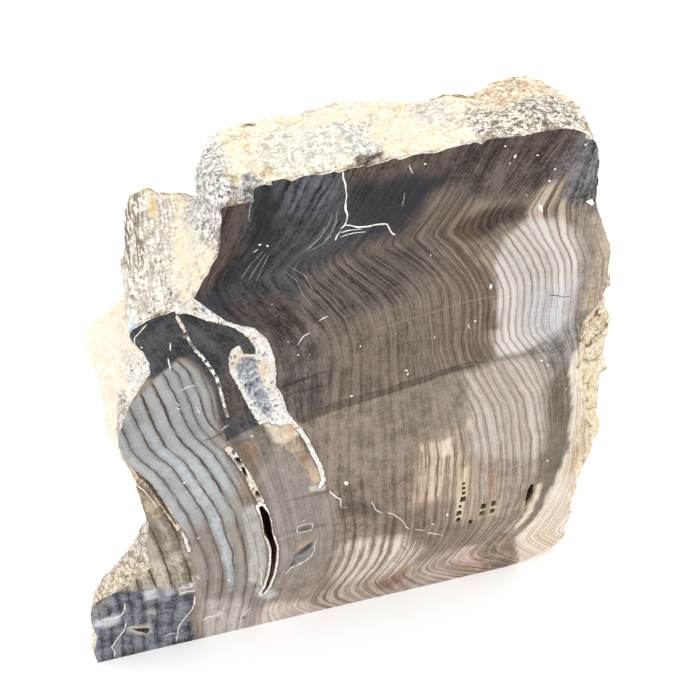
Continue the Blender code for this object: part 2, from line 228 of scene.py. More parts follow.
# The rings of the wood, as they are read on the polished face: for each ring number, the height z and
# the x of its line in a few places. Rings are 2 to 4 mm apart.
ringLines = {
    -4: [(0, -60.5), (10, -59), (20, -57.3), (30, -56.8), (36, -57), (45, -59.5)],
    -3: [(25, -52.9), (30, -52.2), (36, -52.5)],
    -2: [(0, -52), (8, -51), (19, -49.6), (25, -48.7), (30, -47.9), (36, -48.3), (43, -48.6), (50, -49.2),
         (55, -50), (75, -56.5), (100, -61), (126, -56)],
    -1: [(28, -42.2), (30, -42.6), (38, -43), (48, -43.7), (55, -44.5), (63, -46.3), (66, -47)],
    0: [(0, -43.5), (8, -42.3), (14, -41), (24, -39), (30, -38), (36, -37.7), (45, -38.7), (58, -40.4),
        (65.5, -42.4), (71, -44), (75, -45.4), (80, -48.3), (82, -49.2), (85, -49.8), (93, -50.6),
        (98, -51.2), (103, -50), (110, -46), (120, -42)],
    1: [(31, -34), (38, -34.4), (45, -34.8), (52, -35.7), (58, -36.5), (64.5, -38.3), (70, -40),
        (75.5, -41.5), (77.5, -42.5), (79.5, -43.9), (83, -45.4), (86, -46), (92, -47), (98, -47.8)],
    2: [(26, -31.2), (30, -31), (38, -30.6), (44, -31.4), (53, -32.1), (59, -33.3), (64.5, -35),
        (70.5, -36.7), (76, -38.2), (78, -39.2), (81, -41.1), (83.5, -42.2), (90, -43.4), (98, -44.5),
        (102.5, -45.5)],
    3: [(0, -33), (5, -32), (14, -30), (24, -28), (36, -27.2), (44, -27.6), (54.5, -28.6), (60, -30.2),
        (66.5, -31.7), (72.5, -33.3), (77, -34.8), (80, -36.4), (83, -38), (85.5, -38.9), (92, -40.1),
        (98, -41), (104, -42.4), (110, -44), (120, -46), (130, -44), (152, -36)],
    4: [(29, -24.3), (36, -24), (50, -25.2), (62, -27), (71, -29.4), (77.5, -31.4), (81, -33.4),
        (83, -34.6), (88, -36.3), (93, -37.2), (99, -37.9), (105, -39.4)],
    5: [(73, -27), (77, -28.6), (79.5, -30), (82.5, -31.7), (87, -33.5), (92, -34.6), (98, -35.3),
        (104, -36.5), (106, -37.5)],
    6: [(81, -28.3), (84.5, -30), (88, -31.5), (92, -32.4), (98, -32.8), (104.5, -34.3), (109, -36.6)],
    7: [(0, -28.5), (5, -27.5), (10, -26.5), (16, -24.6), (20, -22.6), (25, -21), (30, -20.2), (35, -19.8),
        (45, -20.4), (55, -21.2), (66, -23.6), (77, -26), (80, -27.2), (84.5, -28.5), (89, -30),
        (98, -30.3), (104, -31.5), (110, -34.5), (113, -36.5), (120, -40), (130, -38), (152, -30)],
    15: [(0, -6.8), (1.2, -8.3), (4, -11.4), (5.5, -12.2), (6.5, -12.1), (10, -10.6), (14, -8.3),
         (18, -5.6), (22.5, -3.9), (28, -2.9), (37, -2), (46, -3), (57, -4.1), (75, -3.4), (83, -3),
         (100, -1.5), (106, -2), (112, -4), (118, -8), (122, -11), (125, -12.8), (126.5, -13.1), (128, -12),
         (131, -8), (134, -5), (137, -2.5), (142, 0.5), (148, 4), (153, 6)],
    24: [(0, 21.5), (2.5, 19.5), (5, 18.5), (7, 17.2), (8.5, 16.3), (10, 17), (12, 18.5), (15, 20.5),
         (18.5, 22.5), (22, 24), (30, 24.9), (50, 24.7), (62, 24.1), (70, 22.9), (82, 21), (95, 18.8),
         (105, 18), (110, 17.6), (114, 16.8), (118, 14.5), (121, 11.5), (124, 8.3), (127, 5.3), (129, 3.6),
         (130.2, 4.2), (132, 6), (135, 9), (138, 12), (142, 14.5), (148, 18), (153, 20.5)],
    29: [(0, 44), (2, 40), (4, 36), (6, 32.5), (8, 30), (10, 29), (12, 29.8), (18, 33.6), (24, 36.7),
         (30, 38), (40, 38), (50, 37.3), (60, 36.3), (70, 34.3), (76, 32.5), (83, 29.3), (90, 26.5),
         (97.5, 24.1), (104, 23.2), (110, 22.2), (116, 21.3), (120.5, 19), (123.5, 16), (126, 13),
         (128.3, 10), (129.6, 8.8), (131.5, 10.3), (134.5, 13), (137.5, 16), (143, 19), (153, 24)],
    30: [(19, 37.5), (24, 40.2), (30, 41.2), (41, 41), (48, 40), (58, 39.6), (66.5, 37.7), (74, 36.1),
         (79, 34), (83, 31.5)],
    31: [(37, 44.7), (45, 43.8), (54, 42.8), (63, 41), (69.5, 39.5), (76.5, 37.4), (81, 35), (86, 32.4),
         (90, 30.8)],
    32: [(0.3, 54), (3, 49), (6, 43), (8.5, 38.5), (9.9, 37), (11.3, 37.6), (15.5, 40.8), (20.5, 44.3),
         (26.5, 47), (34, 47.7), (42, 47.3), (51, 46.3), (60, 45), (66.5, 43), (71.5, 42), (76.3, 40.3),
         (81.5, 37.5), (86, 35), (91.3, 32.8), (94, 30.9), (98, 30), (107, 29.4), (113, 28.6), (116, 27.5),
         (121.5, 23.5), (127.5, 18.5), (130.4, 16.2), (131.5, 16.6), (136, 20), (141, 22.7), (148, 26),
         (153, 28)],
    33: [(62, 45.6), (68, 44.4), (75, 43), (79, 41), (83.5, 38.5), (88, 36.2), (90.5, 35.5)],
    34: [(64, 47.4), (70, 46.6), (75, 45), (80, 42.3), (85, 39.5), (90.5, 37.3)],
    35: [(44, 53.6), (53, 52.2), (62.5, 50.2), (69, 48.8), (76.3, 46.8), (80.8, 44.5), (86, 41.5),
         (91, 39)],
    36: [(51, 55.1), (60, 53.8), (68, 51.3), (75.5, 49.3), (81, 46.5), (86.3, 43.2), (91, 40.6)],
    37: [(0, 61.5), (2, 59), (7, 53), (9.5, 50.5), (11.5, 49.4), (13.5, 50), (19, 53.5), (26, 57),
         (34, 58.7), (42, 59.5), (50, 58.8), (61, 56.3), (69, 54.1), (77.8, 51.2), (82.3, 48.5),
         (87.8, 45.3), (93.3, 41.5), (97.5, 38.7), (102, 37.8), (108, 37.5), (113, 36.6), (119.5, 33.5),
         (126.5, 29), (130.2, 25.4), (131.5, 25.6), (137, 28.5), (146, 33), (152, 36)],
    44: [(0, 66), (2, 64), (5, 61), (8, 58.3), (11, 56), (13.5, 55), (16, 56), (20, 58.2), (28, 62),
         (36, 64.2), (50, 64.5), (60, 63.8), (70, 62.8), (80, 61), (86, 59.3), (90, 57.7), (94.5, 54.5),
         (98.5, 51), (101, 50.2), (110, 49.7), (116.5, 48.4), (121.5, 46), (127, 42), (131, 38.5),
         (133, 37.5), (136, 39), (140, 42), (146, 46), (152, 50)],
    51: [(0, 78), (4, 74), (9.5, 68), (12, 65.5), (14, 64.6), (16.5, 66), (20, 67.4), (28, 69.8),
         (38, 70.8), (50, 69.5), (57, 67.5), (65, 66.5), (76, 65.2), (90, 63.5), (100, 62.5), (118, 60),
         (125, 56)],
}
fullLines = [-2, 0, 3, 7, 15, 24, 29, 32, 37, 44, 51]  # these run from the base to the top
rings = {"low": -8, "high": 162, "step": 0.25, "soften": (0.15, 0.7, 0.15), "spacing": 3.0, "wander": 0.16,
         "closest": 0.05}


def ringTable():
    # The x of every ring line at each height. A short line keeps its share of the gap it lies in.
    heights = np.arange(rings["low"], rings["high"], rings["step"])
    table = {n: np.interp(heights, *np.array(ringLines[n]).T) for n in fullLines}
    for n in sorted(set(ringLines) - set(fullLines)):
        known = np.array(ringLines[n]).T
        below = max((m for m in fullLines if m < n), default=None)
        above = min(m for m in fullLines if m > n)
        clamped = np.clip(heights, known[0][0], known[0][-1])
        place = np.interp(clamped, *known)
        right = np.interp(clamped, heights, table[above])
        if below is None:
            table[n] = table[above] + place - right
        else:
            left = np.interp(clamped, heights, table[below])
            share = (place - left) / (right - left)
            table[n] = table[below] + share * (table[above] - table[below])
    numbers = sorted(table)
    lines = [np.convolve(np.pad(table[n], 1, "edge"), rings["soften"], "valid") for n in numbers]
    return np.array(numbers, float), heights, np.array(lines)


def ringAt(x, z):
    # The ring number at each spot: 0 along the first dark line of the left lobe, rising to the right.
    numbers, heights, lines = ringTable()
    row = np.clip((z - heights[0]) / rings["step"], 0, len(heights) - 2)
    low = row.astype(int)
    share = row - low
    across = lines[:, low] * (1 - share) + lines[:, low + 1] * share
    x = x + rings["wander"] * (softNoise(x / 9, z / 5, 3) + 0.5 * softNoise(x / 3, z / 1.6, 4))
    gap = np.clip((across < x).sum(0) - 1, 0, len(numbers) - 2)
    spot = np.arange(len(x))
    left, right = across[gap, spot], across[gap + 1, spot]
    inner = (x - left) / np.maximum(right - left, rings["closest"])
    number = numbers[gap] + inner * (numbers[gap + 1] - numbers[gap])
    number = np.where(x < across[0], numbers[0] + (x - across[0]) / rings["spacing"], number)
    return np.where(x > across[-1], numbers[-1] + (x - across[-1]) / rings["spacing"], number)


# Hollows and crusts of the polished face.
veinOutline = [(-35.5, 122.5), (-31.5, 124.5), (-29.5, 121.9), (-27.6, 119.5), (-25, 116.6), (-22.5, 115),
               (-19.3, 113.5), (-16.6, 110), (-15.4, 104.6), (-15.2, 100), (-15.6, 96), (-14.2, 92.7),
               (-13.4, 87.6), (-12.6, 84), (-10, 79.8), (-8.5, 75.8), (-7.1, 70.8), (-5.5, 65.6),
               (-4.7, 58.4), (-4.6, 56.6), (-8.3, 56.9), (-9.8, 59.9), (-11.3, 64.3), (-13.6, 70.8),
               (-15.9, 76.9), (-19.3, 82.3), (-20.8, 86.1), (-22.3, 90.6), (-23.6, 95.8), (-24.5, 99.2),
               (-25.6, 101.9), (-25.4, 106.3), (-24.6, 108.6), (-22.9, 109.6), (-22.1, 106.9),
               (-19.5, 106.2), (-19.4, 107.8), (-20.4, 110.3), (-21.7, 112.5), (-23.8, 114.6),
               (-26.8, 116.3), (-30.1, 118.2), (-32.3, 119.8), (-35, 120.6)]
veinFloor = [(-24.4, 104), (-22.2, 105.6), (-19.6, 105.2), (-18.9, 99), (-17.8, 94), (-17, 90),
             (-16.6, 87.2), (-18.4, 86.6), (-20.4, 90), (-22.4, 95), (-23.7, 99)]
veinBrown = [(-17.2, 78.2), (-11.4, 78.6), (-9.9, 74), (-8.3, 69.6), (-6.9, 64.8), (-7.4, 61), (-9.2, 62.2),
             (-10.6, 66.4), (-12.8, 71.6), (-15.2, 76.4)]
slotPath = [(-22.1, 54.8), (-21.3, 51.4), (-20.9, 47.4), (-20.9, 43.2), (-20.2, 39.6), (-19.7, 35.6),
            (-20.2, 30), (-21.2, 24.2), (-22.8, 18.8), (-24.4, 15.8)]
chainPath = [(-28.3, 78.2), (-26.9, 75), (-26, 72), (-24.9, 68.8), (-24, 65.7), (-23, 60.9), (-21.9, 56.5)]
drusePath = [(-34.8, 119.6), (-34.2, 117.5), (-33.6, 115), (-32.7, 111), (-31.2, 108.3), (-30, 105.5),
             (-28.6, 101.5), (-28.2, 98), (-27.8, 93), (-27.4, 88.8)]
crackPath = [(-50.6, 75.6), (-48.4, 71.6), (-47, 66.4), (-45.9, 61.6), (-44.9, 57.8), (-44, 54),
             (-43.1, 50.6), (-42.4, 46.9), (-42.2, 42.6)]
lensOutline = [(-17.2, 22.9), (-15.6, 27.2), (-14.2, 30.4), (-11.6, 33.2), (-8.6, 35.4), (-8.1, 34.2),
               (-8.8, 30.2), (-10.2, 28), (-12.8, 26), (-15.6, 24.6)]
blockHole = [(-62.3, 13.4), (-61, 11.4), (-58.7, 9.2), (-57.4, 10.6), (-57.9, 11.8), (-60, 12.4)]
footPit = [(-31.6, 4.4), (-31.1, 6.3), (-30.4, 6.6), (-30.5, 4.6)]
print("ring lines and outlines read")

# The stone. Lengths are in mm, the angle is in degrees. Plugs fill the solid's own hollows until the
# sharper ones are cut.
stoneBuild = {"allowance": 3.0, "mergeWithin": 0.01, "voxel": 1.17, "plugStart": -2.6, "plugDeeper": 1.5,
              "smoothBelow": 38}
plugs = [
    ([(-26.4, 57), (-17.2, 57), (-17.2, 13.6), (-26.4, 13.6)], 17),
    ([(-27, 103.6), (-25.6, 110.2), (-21.2, 114), (-15.4, 111), (-15, 104), (-13, 86), (-19, 83.6),
      (-24, 94)], 1.8),
    ([(-49.6, 74.6), (-45.6, 66.4), (-42.6, 54), (-44.6, 53), (-47.9, 63.8), (-49.9, 70)], 7),
    ([(54.4, 28.6), (57.2, 29.6), (59.2, 34.3), (59.2, 38.6), (56.9, 40.6), (55.2, 35)], 4.5),
    ([(-17.7, 23), (-17, 32), (-9, 37), (-7.2, 34), (-8.2, 28.4), (-12.8, 24.5)], 1.2),
    ([(-63.2, 14.8), (-61.6, 10), (-58.7, 7.4), (-56.2, 10), (-56.4, 12.8), (-59.7, 14)], 2.2),
    ([(33, 47), (37, 47), (36.6, 28.6), (33.6, 28.6)], 2.2),
    ([(37.2, 37.6), (47.4, 37.6), (47, 25.6), (37.2, 25.6)], 2.2),
    ([(-29.8, 79.4), (-26, 78), (-22.8, 67.4), (-26, 66.4)], 2.2),
]


def addPrism(name, outline, start, end):
    # A closed prism through the face, from one depth to another.
    data = bpy.data.meshes.new(name)
    data.from_pydata([at(x, z, start) for x, z in outline], [], [list(range(len(outline)))])
    item = addToScene(bpy.data.objects.new(name, data))
    closeBlock(item, y=end - start)
    return item


def pullFlat(item, axis, place, x=0.0, y=0.0, z=0.0):
    # Pulls a sawn face outwards, so that the saw finds stone there again.
    def flat(face):
        return all(abs(item.data.vertices[v].co[axis] - place) < flatWithin for v in face.vertices)

    selectFaces(item, flat)
    extrudeBy(x, y, z)
    bpy.ops.object.mode_set(mode="OBJECT")


# Soft bulges and dents of the outline: centre, reach and shift in mm.
nudges = [
    ((-19.5, 22, 147), (7.5, 10, 9), (0, 1, 2.5)),
    ((31, 21, 152), (10, 9, 7), (0, 0.3, 1.1)),
    ((-50.5, 25.5, 111), (9, 13, 7.5), (3.4, 0, -4.4)),
    ((-56, 19, 101.5), (6, 13, 7), (-1.7, 0, 0.2)),
    ((-40.5, 28, 131), (7, 10, 8), (1, 0, 1.9)),
    ((60, 14, 147), (7, 14, 8), (0.8, 0, 0.8)),
    ((66, 3, 14), (12, 22, 13), (3.4, 0, 0)),
    ((72, 6, 53), (10, 18, 13), (2.4, 0, 0)),
    ((75.5, 5, 41), (9, 12, 8), (2, 0, 0)),
    ((75, 8, 77), (8, 12, 7), (1.7, 0, 0)),
]


def nudged(x, y, z):
    moved = np.stack([x, y, z]).astype(float)
    for centre, reach, shift in nudges:
        moved += ease(awayFrom((x, y, z), centre, reach, 2), 1, 0.2) * np.array(shift)[:, None]
    return moved


def nudge(item):
    # The polished face and the base stay where they are.
    x, y, z = chartPoints(item)
    toX, toY, toZ = nudged(x, y, z)
    placePoints(item, toX, y + ease(y, -1, 4) * (toY - y), z + ease(z, 0.5, 4) * (toZ - z))


def roughBlank():
    node = frame["nodes"]["petrified_wood"]
    blank = node.copy()
    blank.data = node.data.copy()
    blank.name = "petrifiedWood"
    blank.parent = None
    addToScene(blank)
    editAll(blank)
    bpy.ops.mesh.remove_doubles(threshold=stoneBuild["mergeWithin"] * mm)
    bpy.ops.object.mode_set(mode="OBJECT")
    pullFlat(blank, 1, stoneLow.y, y=-stoneBuild["allowance"])
    pullFlat(blank, 2, 0.0, z=-stoneBuild["allowance"])
    filled = [addPrism("plug", outline, stoneBuild["plugStart"], depth + stoneBuild["plugDeeper"])
              for outline, depth in plugs]
    pickOnly(blank, *filled)
    bpy.ops.object.join()
    addModifier(blank, "REMESH", mode="VOXEL", voxel_size=stoneBuild["voxel"] * mm)
    nudge(blank)
    return blank


stone = roughBlank()
print("blank remeshed:", len(stone.data.polygons), "faces")

# Relief of the broken sides: how a texture is drawn out, the corners it moves, how far it moves them
# and its scale in mm, then its own settings.
reliefGuides = {"alongFibres": (1, 2.6, 1), "alongStriae": (1, 14, 1), "allRound": (1, 1, 1)}
guideTurn = (0.12, 0.3, 0.08)
weightSteps = 20
relief = {
    "blocks": ("alongFibres", "broken", 0.9, 6.0, {"noise_basis": "CELL_NOISE", "noise_depth": 1}),
    "facets": ("allRound", "faceted", 1.6, 7.0, {"noise_basis": "VORONOI_F2_F1", "noise_depth": 0}),
    "smallBlocks": ("alongFibres", "broken", 0.6, 2.1, {"noise_basis": "CELL_NOISE", "noise_depth": 1}),
    "crumbs": ("allRound", "broken", 0.4, 1.9, {"noise_type": "HARD_NOISE", "noise_depth": 2}),
    "striae": ("alongStriae", "striated", 0.9, 1.1, {"noise_depth": 2}),
    "grit": ("allRound", "broken", 0.5, 0.9, {"noise_depth": 1}),
}


def weightGroup(item, name, weights):
    # A vertex group from one weight per corner, rounded to steps.
    group = item.vertex_groups.new(name=name)
    levels = np.round(np.clip(weights, 0, 1) * weightSteps).astype(int)
    for level in range(1, weightSteps + 1):
        group.add(np.nonzero(levels == level)[0].tolist(), level / weightSteps, "REPLACE")


def stretchGuide(name, scale):
    # An empty whose scale draws a relief texture out along the fibres, turned off the axes.
    bpy.ops.object.empty_add(location=(0, 0, 0), rotation=guideTurn)
    guide = bpy.context.object
    guide.name = name
    guide.scale = scale
    return guide


def roughen(item, name, guides):
    guide, group, height, grain, settings = relief[name]
    texture = bpy.data.textures.new(name, "CLOUDS")
    texture.noise_scale = grain * mm
    for key, value in settings.items():
        setattr(texture, key, value)
    addModifier(item, "DISPLACE", texture=texture, texture_coords="OBJECT",
                texture_coords_object=guides[guide], strength=height * mm, mid_level=0.5,
                vertex_group=group)


def weatherStone(item):
    x, y, z = chartPoints(item)
    fade = ease(y, 0.3, 2.2) * ease(z, -0.5, 2)
    shelf = ease(-x, 27, 30) * ease(x, -48, -45) * ease(z, 118, 121)
    rightSide = ease(y, 0.6, 2.6) * ease(x, 57, 61) * ease(z, 4, 10)
    weightGroup(item, "broken", fade * (1 - 0.7 * shelf))
    weightGroup(item, "striated", fade * shelf)
    weightGroup(item, "faceted", rightSide + ease(y, 26, 34) * ease(z, 2, 8))
    guides = {name: stretchGuide(name, scale) for name, scale in reliefGuides.items()}
    for name in ("blocks", "facets", "smallBlocks", "crumbs", "striae"):
        roughen(item, name, guides)

    # The broken sides that the camera sees get four faces for each one.
    def seen(face):
        towards = (camera.location - face.center).normalized()
        return face.normal.dot(towards) > -0.05 and face.center.y > chart.y - 0.5 * mm

    selectFaces(item, seen)
    bpy.ops.mesh.subdivide(number_cuts=1, smoothness=0.0)
    bpy.ops.object.mode_set(mode="OBJECT")
    roughen(item, "grit", guides)
    for guide in guides.values():
        bpy.data.objects.remove(guide)


weatherStone(stone)
print("broken sides weathered:", len(stone.data.polygons), "faces")


def newMaterial(name):
    material = bpy.data.materials.new(name)
    material.use_nodes = True
    return material


faceMaterial = newMaterial("polishedFace")
rindMaterial = newMaterial("brokenRind")
baseMaterial = newMaterial("sawnBase")
hollowMaterial = newMaterial("hollowWall")

# The blocks that saw the face and the base: runs of steps, each with its start, end and size in mm, or
# an even number of steps, and how far the block reaches out of the stone.
sawGrid = {"across": [(-80, -54, 1.0), (-54, -41, 0.5), (-41, -36, 1.0), (-36, -4, 0.4), (-4, 82, 1.0)],
           "upward": [(-6, 55, 0.9), (55, 122, 0.45), (122, 158, 0.9)],
           "reach": -8.0}
baseGrid = {"across": (-84, 84, 85), "inward": (-12, 54, 34), "reach": -9.0}


def gridSteps(runs):
    places = []
    for start, end, size in runs:
        count = round((end - start) / size)
        places += [start + (end - start) * step / count for step in range(count)]
    return np.array(places + [runs[-1][1]])


# Depths of the relief in the face: the crust with its grain and fine grain, its pits, the crystal bed,
# the grey lens and the chain of crystals.
faceDepths = {"crust": (0.28, 0.22, 0.16), "pits": 0.9, "bed": (0.9, 0.5, 0.25), "lens": (0.75, 0.25),
              "chain": (0.18, 0.2)}
crustFoot = {"x": -16, "slope": 0.25, "z": 84}  # the crust of the vein ends along this line
# Rows of pits: path, half width outside and inside, noise scale across and up, seed, where the noise
# starts and ends to dig, and the depth.
pitRows = [(chainPath, 0.75, 0.25, 1.4, 1.5, 16, 0.05, 0.4, 1.6),
           (drusePath, 0.42, 0.1, 3, 1.4, 17, 0.1, 0.4, 0.9),
           (crackPath, 0.9, 0.3, 1.2, 1.3, 18, -0.1, 0.4, 0.9)]


def overFoot(x, z):
    return z + crustFoot["slope"] * (x - crustFoot["x"])


def faceRelief(x, z):
    # How far the cut face lies behind its plane: crystal-lined hollows, pits in the crusts.
    grain = softNoise(x / 0.9, z / 0.9, 11)
    fine = softNoise(x / 0.45, z / 0.5, 12)
    vein = insideBy(x, z, veinOutline)
    crust = ease(vein, -0.1, 0.5) * ease(overFoot(x, z), crustFoot["z"], crustFoot["z"] + 1)
    deep, rough, sharp = faceDepths["crust"]
    depth = crust * (deep + rough * grain + sharp * fine)
    pits = ease(softNoise(x / 0.75 + 0.4 * grain, z / 0.95, 13), 0.55, 0.8)
    depth += crust * pits * faceDepths["pits"] * ease(vein, 0.3, 0.9)
    deep, rough, sharp = faceDepths["bed"]
    facets = rough * softNoise((x + 0.5 * z) / 2.1, (z - 0.4 * x) / 3.0, 14)
    depth += ease(insideBy(x, z, veinFloor), -0.3, 0.9) * (deep + facets + sharp * grain)
    deep, rough = faceDepths["lens"]
    depth += ease(insideBy(x, z, lensOutline), 0.1, 0.9) * (deep + rough * softNoise(x / 3, z / 3, 15))
    deep, rough = faceDepths["chain"]
    depth += ease(-pathDistance(x, z, chainPath), -1.2, -0.8) * (deep + rough * grain)
    for path, outer, inner, wide, tall, seed, start, end, deep in pitRows:
        row = ease(-pathDistance(x, z, path), -outer, -inner)
        depth += row * ease(softNoise(x / wide, z / tall, seed), start, end) * deep
    return np.maximum(depth, 0)


def addSheet(name, columns, rows):
    bpy.ops.mesh.primitive_grid_add(x_subdivisions=len(columns) - 1, y_subdivisions=len(rows) - 1)
    sheet = bpy.context.object
    sheet.name = name
    return sheet, [part.ravel() for part in np.meshgrid(columns, rows)]


def sawBlock():
    saw, (x, z) = addSheet("sawBlock", gridSteps(sawGrid["across"]), gridSteps(sawGrid["upward"]))
    placePoints(saw, x, np.zeros(x.shape), z)
    closeBlock(saw, y=sawGrid["reach"])
    x, y, z = chartPoints(saw)
    placePoints(saw, x, np.where(np.abs(y) < 0.01, faceRelief(x, z), y), z)
    saw.data.materials.append(faceMaterial)
    return saw


def baseBlock():
    across, inward = np.linspace(*baseGrid["across"]), np.linspace(*baseGrid["inward"])
    block, (x, y) = addSheet("baseBlock", across, inward)
    placePoints(block, x, y, np.zeros(x.shape))
    closeBlock(block, z=baseGrid["reach"])
    block.data.materials.append(baseMaterial)
    return block


# Chips along the rim: how near their points lie, then the size and spacing of large and small ones.
rimChips = {"every": 0.8, "large": (0.22, 1.5), "small": (0.12, 0.7)}


def alongLine(start, end, spacing):
    # Spots from the start of a line towards its end, the end left out.
    count = max(1, round(math.dist(start, end) / spacing))
    return [(start[0] + (end[0] - start[0]) * step / count, start[1] + (end[1] - start[1]) * step / count)
            for step in range(count)]


def faceOutline():
    # The outline of the CAD solid's flat face, corner after corner, with small chips along it.
    solid = frame["nodes"]["petrified_wood"].data
    spots = {}
    for corner in solid.vertices:
        spots[corner.index] = (round((corner.co.x - chart.x) / mm, 2), round(corner.co.z / mm, 2))
    onFace = {corner.index for corner in solid.vertices if abs(corner.co.y - stoneLow.y) < flatWithin}
    ways = set()
    for face in solid.polygons:
        if onFace.issuperset(face.vertices):
            run = [spots[index] for index in face.vertices]
            ways.update(zip(run, run[1:] + run[:1]))
    following = {start: end for start, end in ways if start != end and (end, start) not in ways}
    first = max(following, key=lambda spot: spot[1])
    loop, spot = [first], following[first]
    while spot != first:
        loop.append(spot)
        spot = following[spot]
    points = []
    for start, end in zip(loop, loop[1:] + loop[:1]):
        points += alongLine(start, end, rimChips["every"])
    x, z = np.array(points).T
    x = np.where((x > 50) & (z < 75), nudged(x, np.full(x.shape, 2.0), z)[0], x)
    sideways, upward = np.gradient(z), -np.gradient(x)
    size = np.maximum(np.hypot(sideways, upward), 1e-6)
    large, wide = rimChips["large"]
    small, narrow = rimChips["small"]
    chips = large * softNoise(x / wide, z / wide, 31) + small * softNoise(x / narrow, z / narrow, 32)
    chips *= ease(z, 0.5, 3)
    chips *= 1 + 2 * ease(z, 136, 141) + 1.5 * ease(z, 128, 134) * ease(x, 44, 50)
    return list(zip(x + chips * sideways / size, z + chips * upward / size))


rimSlab = {"outline": [(-95, -12), (95, -12), (95, 165), (-95, 165)], "start": -6.0, "end": 0.55,
           "opening": (-8.0, 6.0)}


def rimCutter():
    # A slab with an opening the shape of the face, which trims the stone to that outline in front.
    cutter = addPrism("rimCutter", rimSlab["outline"], rimSlab["start"], rimSlab["end"])
    opening = addPrism("faceOpening", faceOutline(), *rimSlab["opening"])
    addModifier(cutter, "BOOLEAN", operation="DIFFERENCE", solver="EXACT", object=opening)
    bpy.data.objects.remove(opening)
    cutter.data.materials.append(rindMaterial)
    return cutter


def widePath(path, halfWidths):
    # The outline of a band along a path, its half width given at each point.
    spots = [Vector(point) for point in path]
    left, right = [], []
    for index, spot in enumerate(spots):
        ahead = spots[min(index + 1, len(spots) - 1)] - spots[max(index - 1, 0)]
        side = Vector((-ahead.y, ahead.x)).normalized() * halfWidths[index]
        left.append(spot + side)
        right.append(spot - side)
    return [tuple(spot) for spot in left + right[::-1]]


# Outline and depth of each hollow: the slot, the crack, the pits. Then x, z and half width of the
# small pits, which share one shape.
hollows = [
    (widePath(slotPath, [0.5, 1.0, 1.1, 1.15, 0.8, 0.85, 0.75, 0.7, 0.5, 0.25]), 16.0),
    (widePath(crackPath[:6], [0.3, 0.5, 0.55, 0.45, 0.35, 0.2]), 7.0),
    ([(56, 37.6), (56.8, 40), (58.2, 38.9), (58.2, 36), (57.6, 32.5), (57, 29.4), (56.3, 29.6),
      (56, 33)], 4.5),
    (blockHole, 2.4),
    (footPit, 2.0),
    ([(-27.1, 74.4), (-26.2, 74.4), (-25.8, 72.6), (-26.5, 72.4)], 2.6),
    ([(-25.9, 71), (-25.1, 70.9), (-24.4, 67.4), (-25.3, 67.2)], 3.0),
]
smallPits = [(-33.75, 114.6, 0.5), (-30.45, 106.6, 0.36), (-29.6, 104.4, 0.34), (-28.7, 101.9, 0.36),
             (-28.25, 98.6, 0.3), (35.1, 46.6, 0.45), (35.3, 44.5, 0.5), (35.5, 42.4, 0.5),
             (35.6, 39.7, 0.8), (35, 36.6, 0.45), (34.9, 33.6, 0.75), (35, 30.6, 0.65), (42.5, 34.4, 0.75),
             (42.4, 31, 0.8), (45.8, 34.6, 0.85), (45.7, 31.2, 0.75), (39, 28.3, 0.6)]
pitCorners = [(-1.1, -1.3), (0.1, -1.5), (1.1, -1.2), (1.2, 1.1), (0, 1.5), (-1, 1.3)]
hollowWalls = {"pitDepth": 2.0, "start": -1.0, "cuts": 2, "waves": 0.12, "seed": 5}
hollows += [([(x + half * a, z + half * b) for a, b in pitCorners], hollowWalls["pitDepth"])
            for x, z, half in smallPits]


def hollowCutters():
    # Prisms with wavy walls for the open slot, the crack and the pits.
    cutters = []
    for outline, depth in hollows:
        cutters.append(addPrism("hollowCutter", outline, hollowWalls["start"], depth))
        editAll(cutters[-1])
        bpy.ops.mesh.subdivide(number_cuts=hollowWalls["cuts"])
        bpy.ops.transform.vertex_random(offset=hollowWalls["waves"] * mm, seed=hollowWalls["seed"])
        bpy.ops.object.mode_set(mode="OBJECT")
    pickOnly(*cutters)
    bpy.ops.object.join()
    cutters[0].data.materials.append(hollowMaterial)
    return cutters[0]


def cutAway(item, cutter):
    addModifier(item, "BOOLEAN", operation="DIFFERENCE", solver="EXACT", object=cutter,
                material_mode="TRANSFER")
    bpy.data.objects.remove(cutter)


stone.data.materials.clear()
stone.data.materials.append(rindMaterial)
cutAway(stone, baseBlock())
cutAway(stone, rimCutter())
cutAway(stone, sawBlock())
print("face and base sawn:", len(stone.data.polygons), "faces")
cutAway(stone, hollowCutters())
print("hollows cut:", len(stone.data.polygons), "faces")

pickOnly(stone)
bpy.ops.object.shade_smooth_by_angle(angle=math.radians(stoneBuild["smoothBelow"]))

# Colours of the stone, in percent as they look in soft daylight. The gloss adds its own light, so the
# face's paint takes it off.
paint = {"gloss": 0.026, "brightness": 1.3, "faceRange": (0.004, 0.92), "rind": 0.9,
         "rindRange": (0.01, 0.95)}


def linearOf(colour):
    # From screen values to amounts of light, by the sRGB formula.
    seen = np.array(colour, float) / 100
    return np.where(seen <= 0.04045, seen / 12.92, ((seen + 0.055) / 1.055) ** 2.4)


def pigment(colour):
    return np.clip((linearOf(colour) - paint["gloss"]) / paint["brightness"], *paint["faceRange"])


def rindPigment(colour):
    return np.clip(linearOf(colour) * paint["rind"], *paint["rindRange"])


def paintOver(layers, share, values):
    # Moves each layer of colours or traits a share of the way to new values.
    for layer, value in zip(layers, values):
        layer += share[:, None] * (np.array(value) - layer)


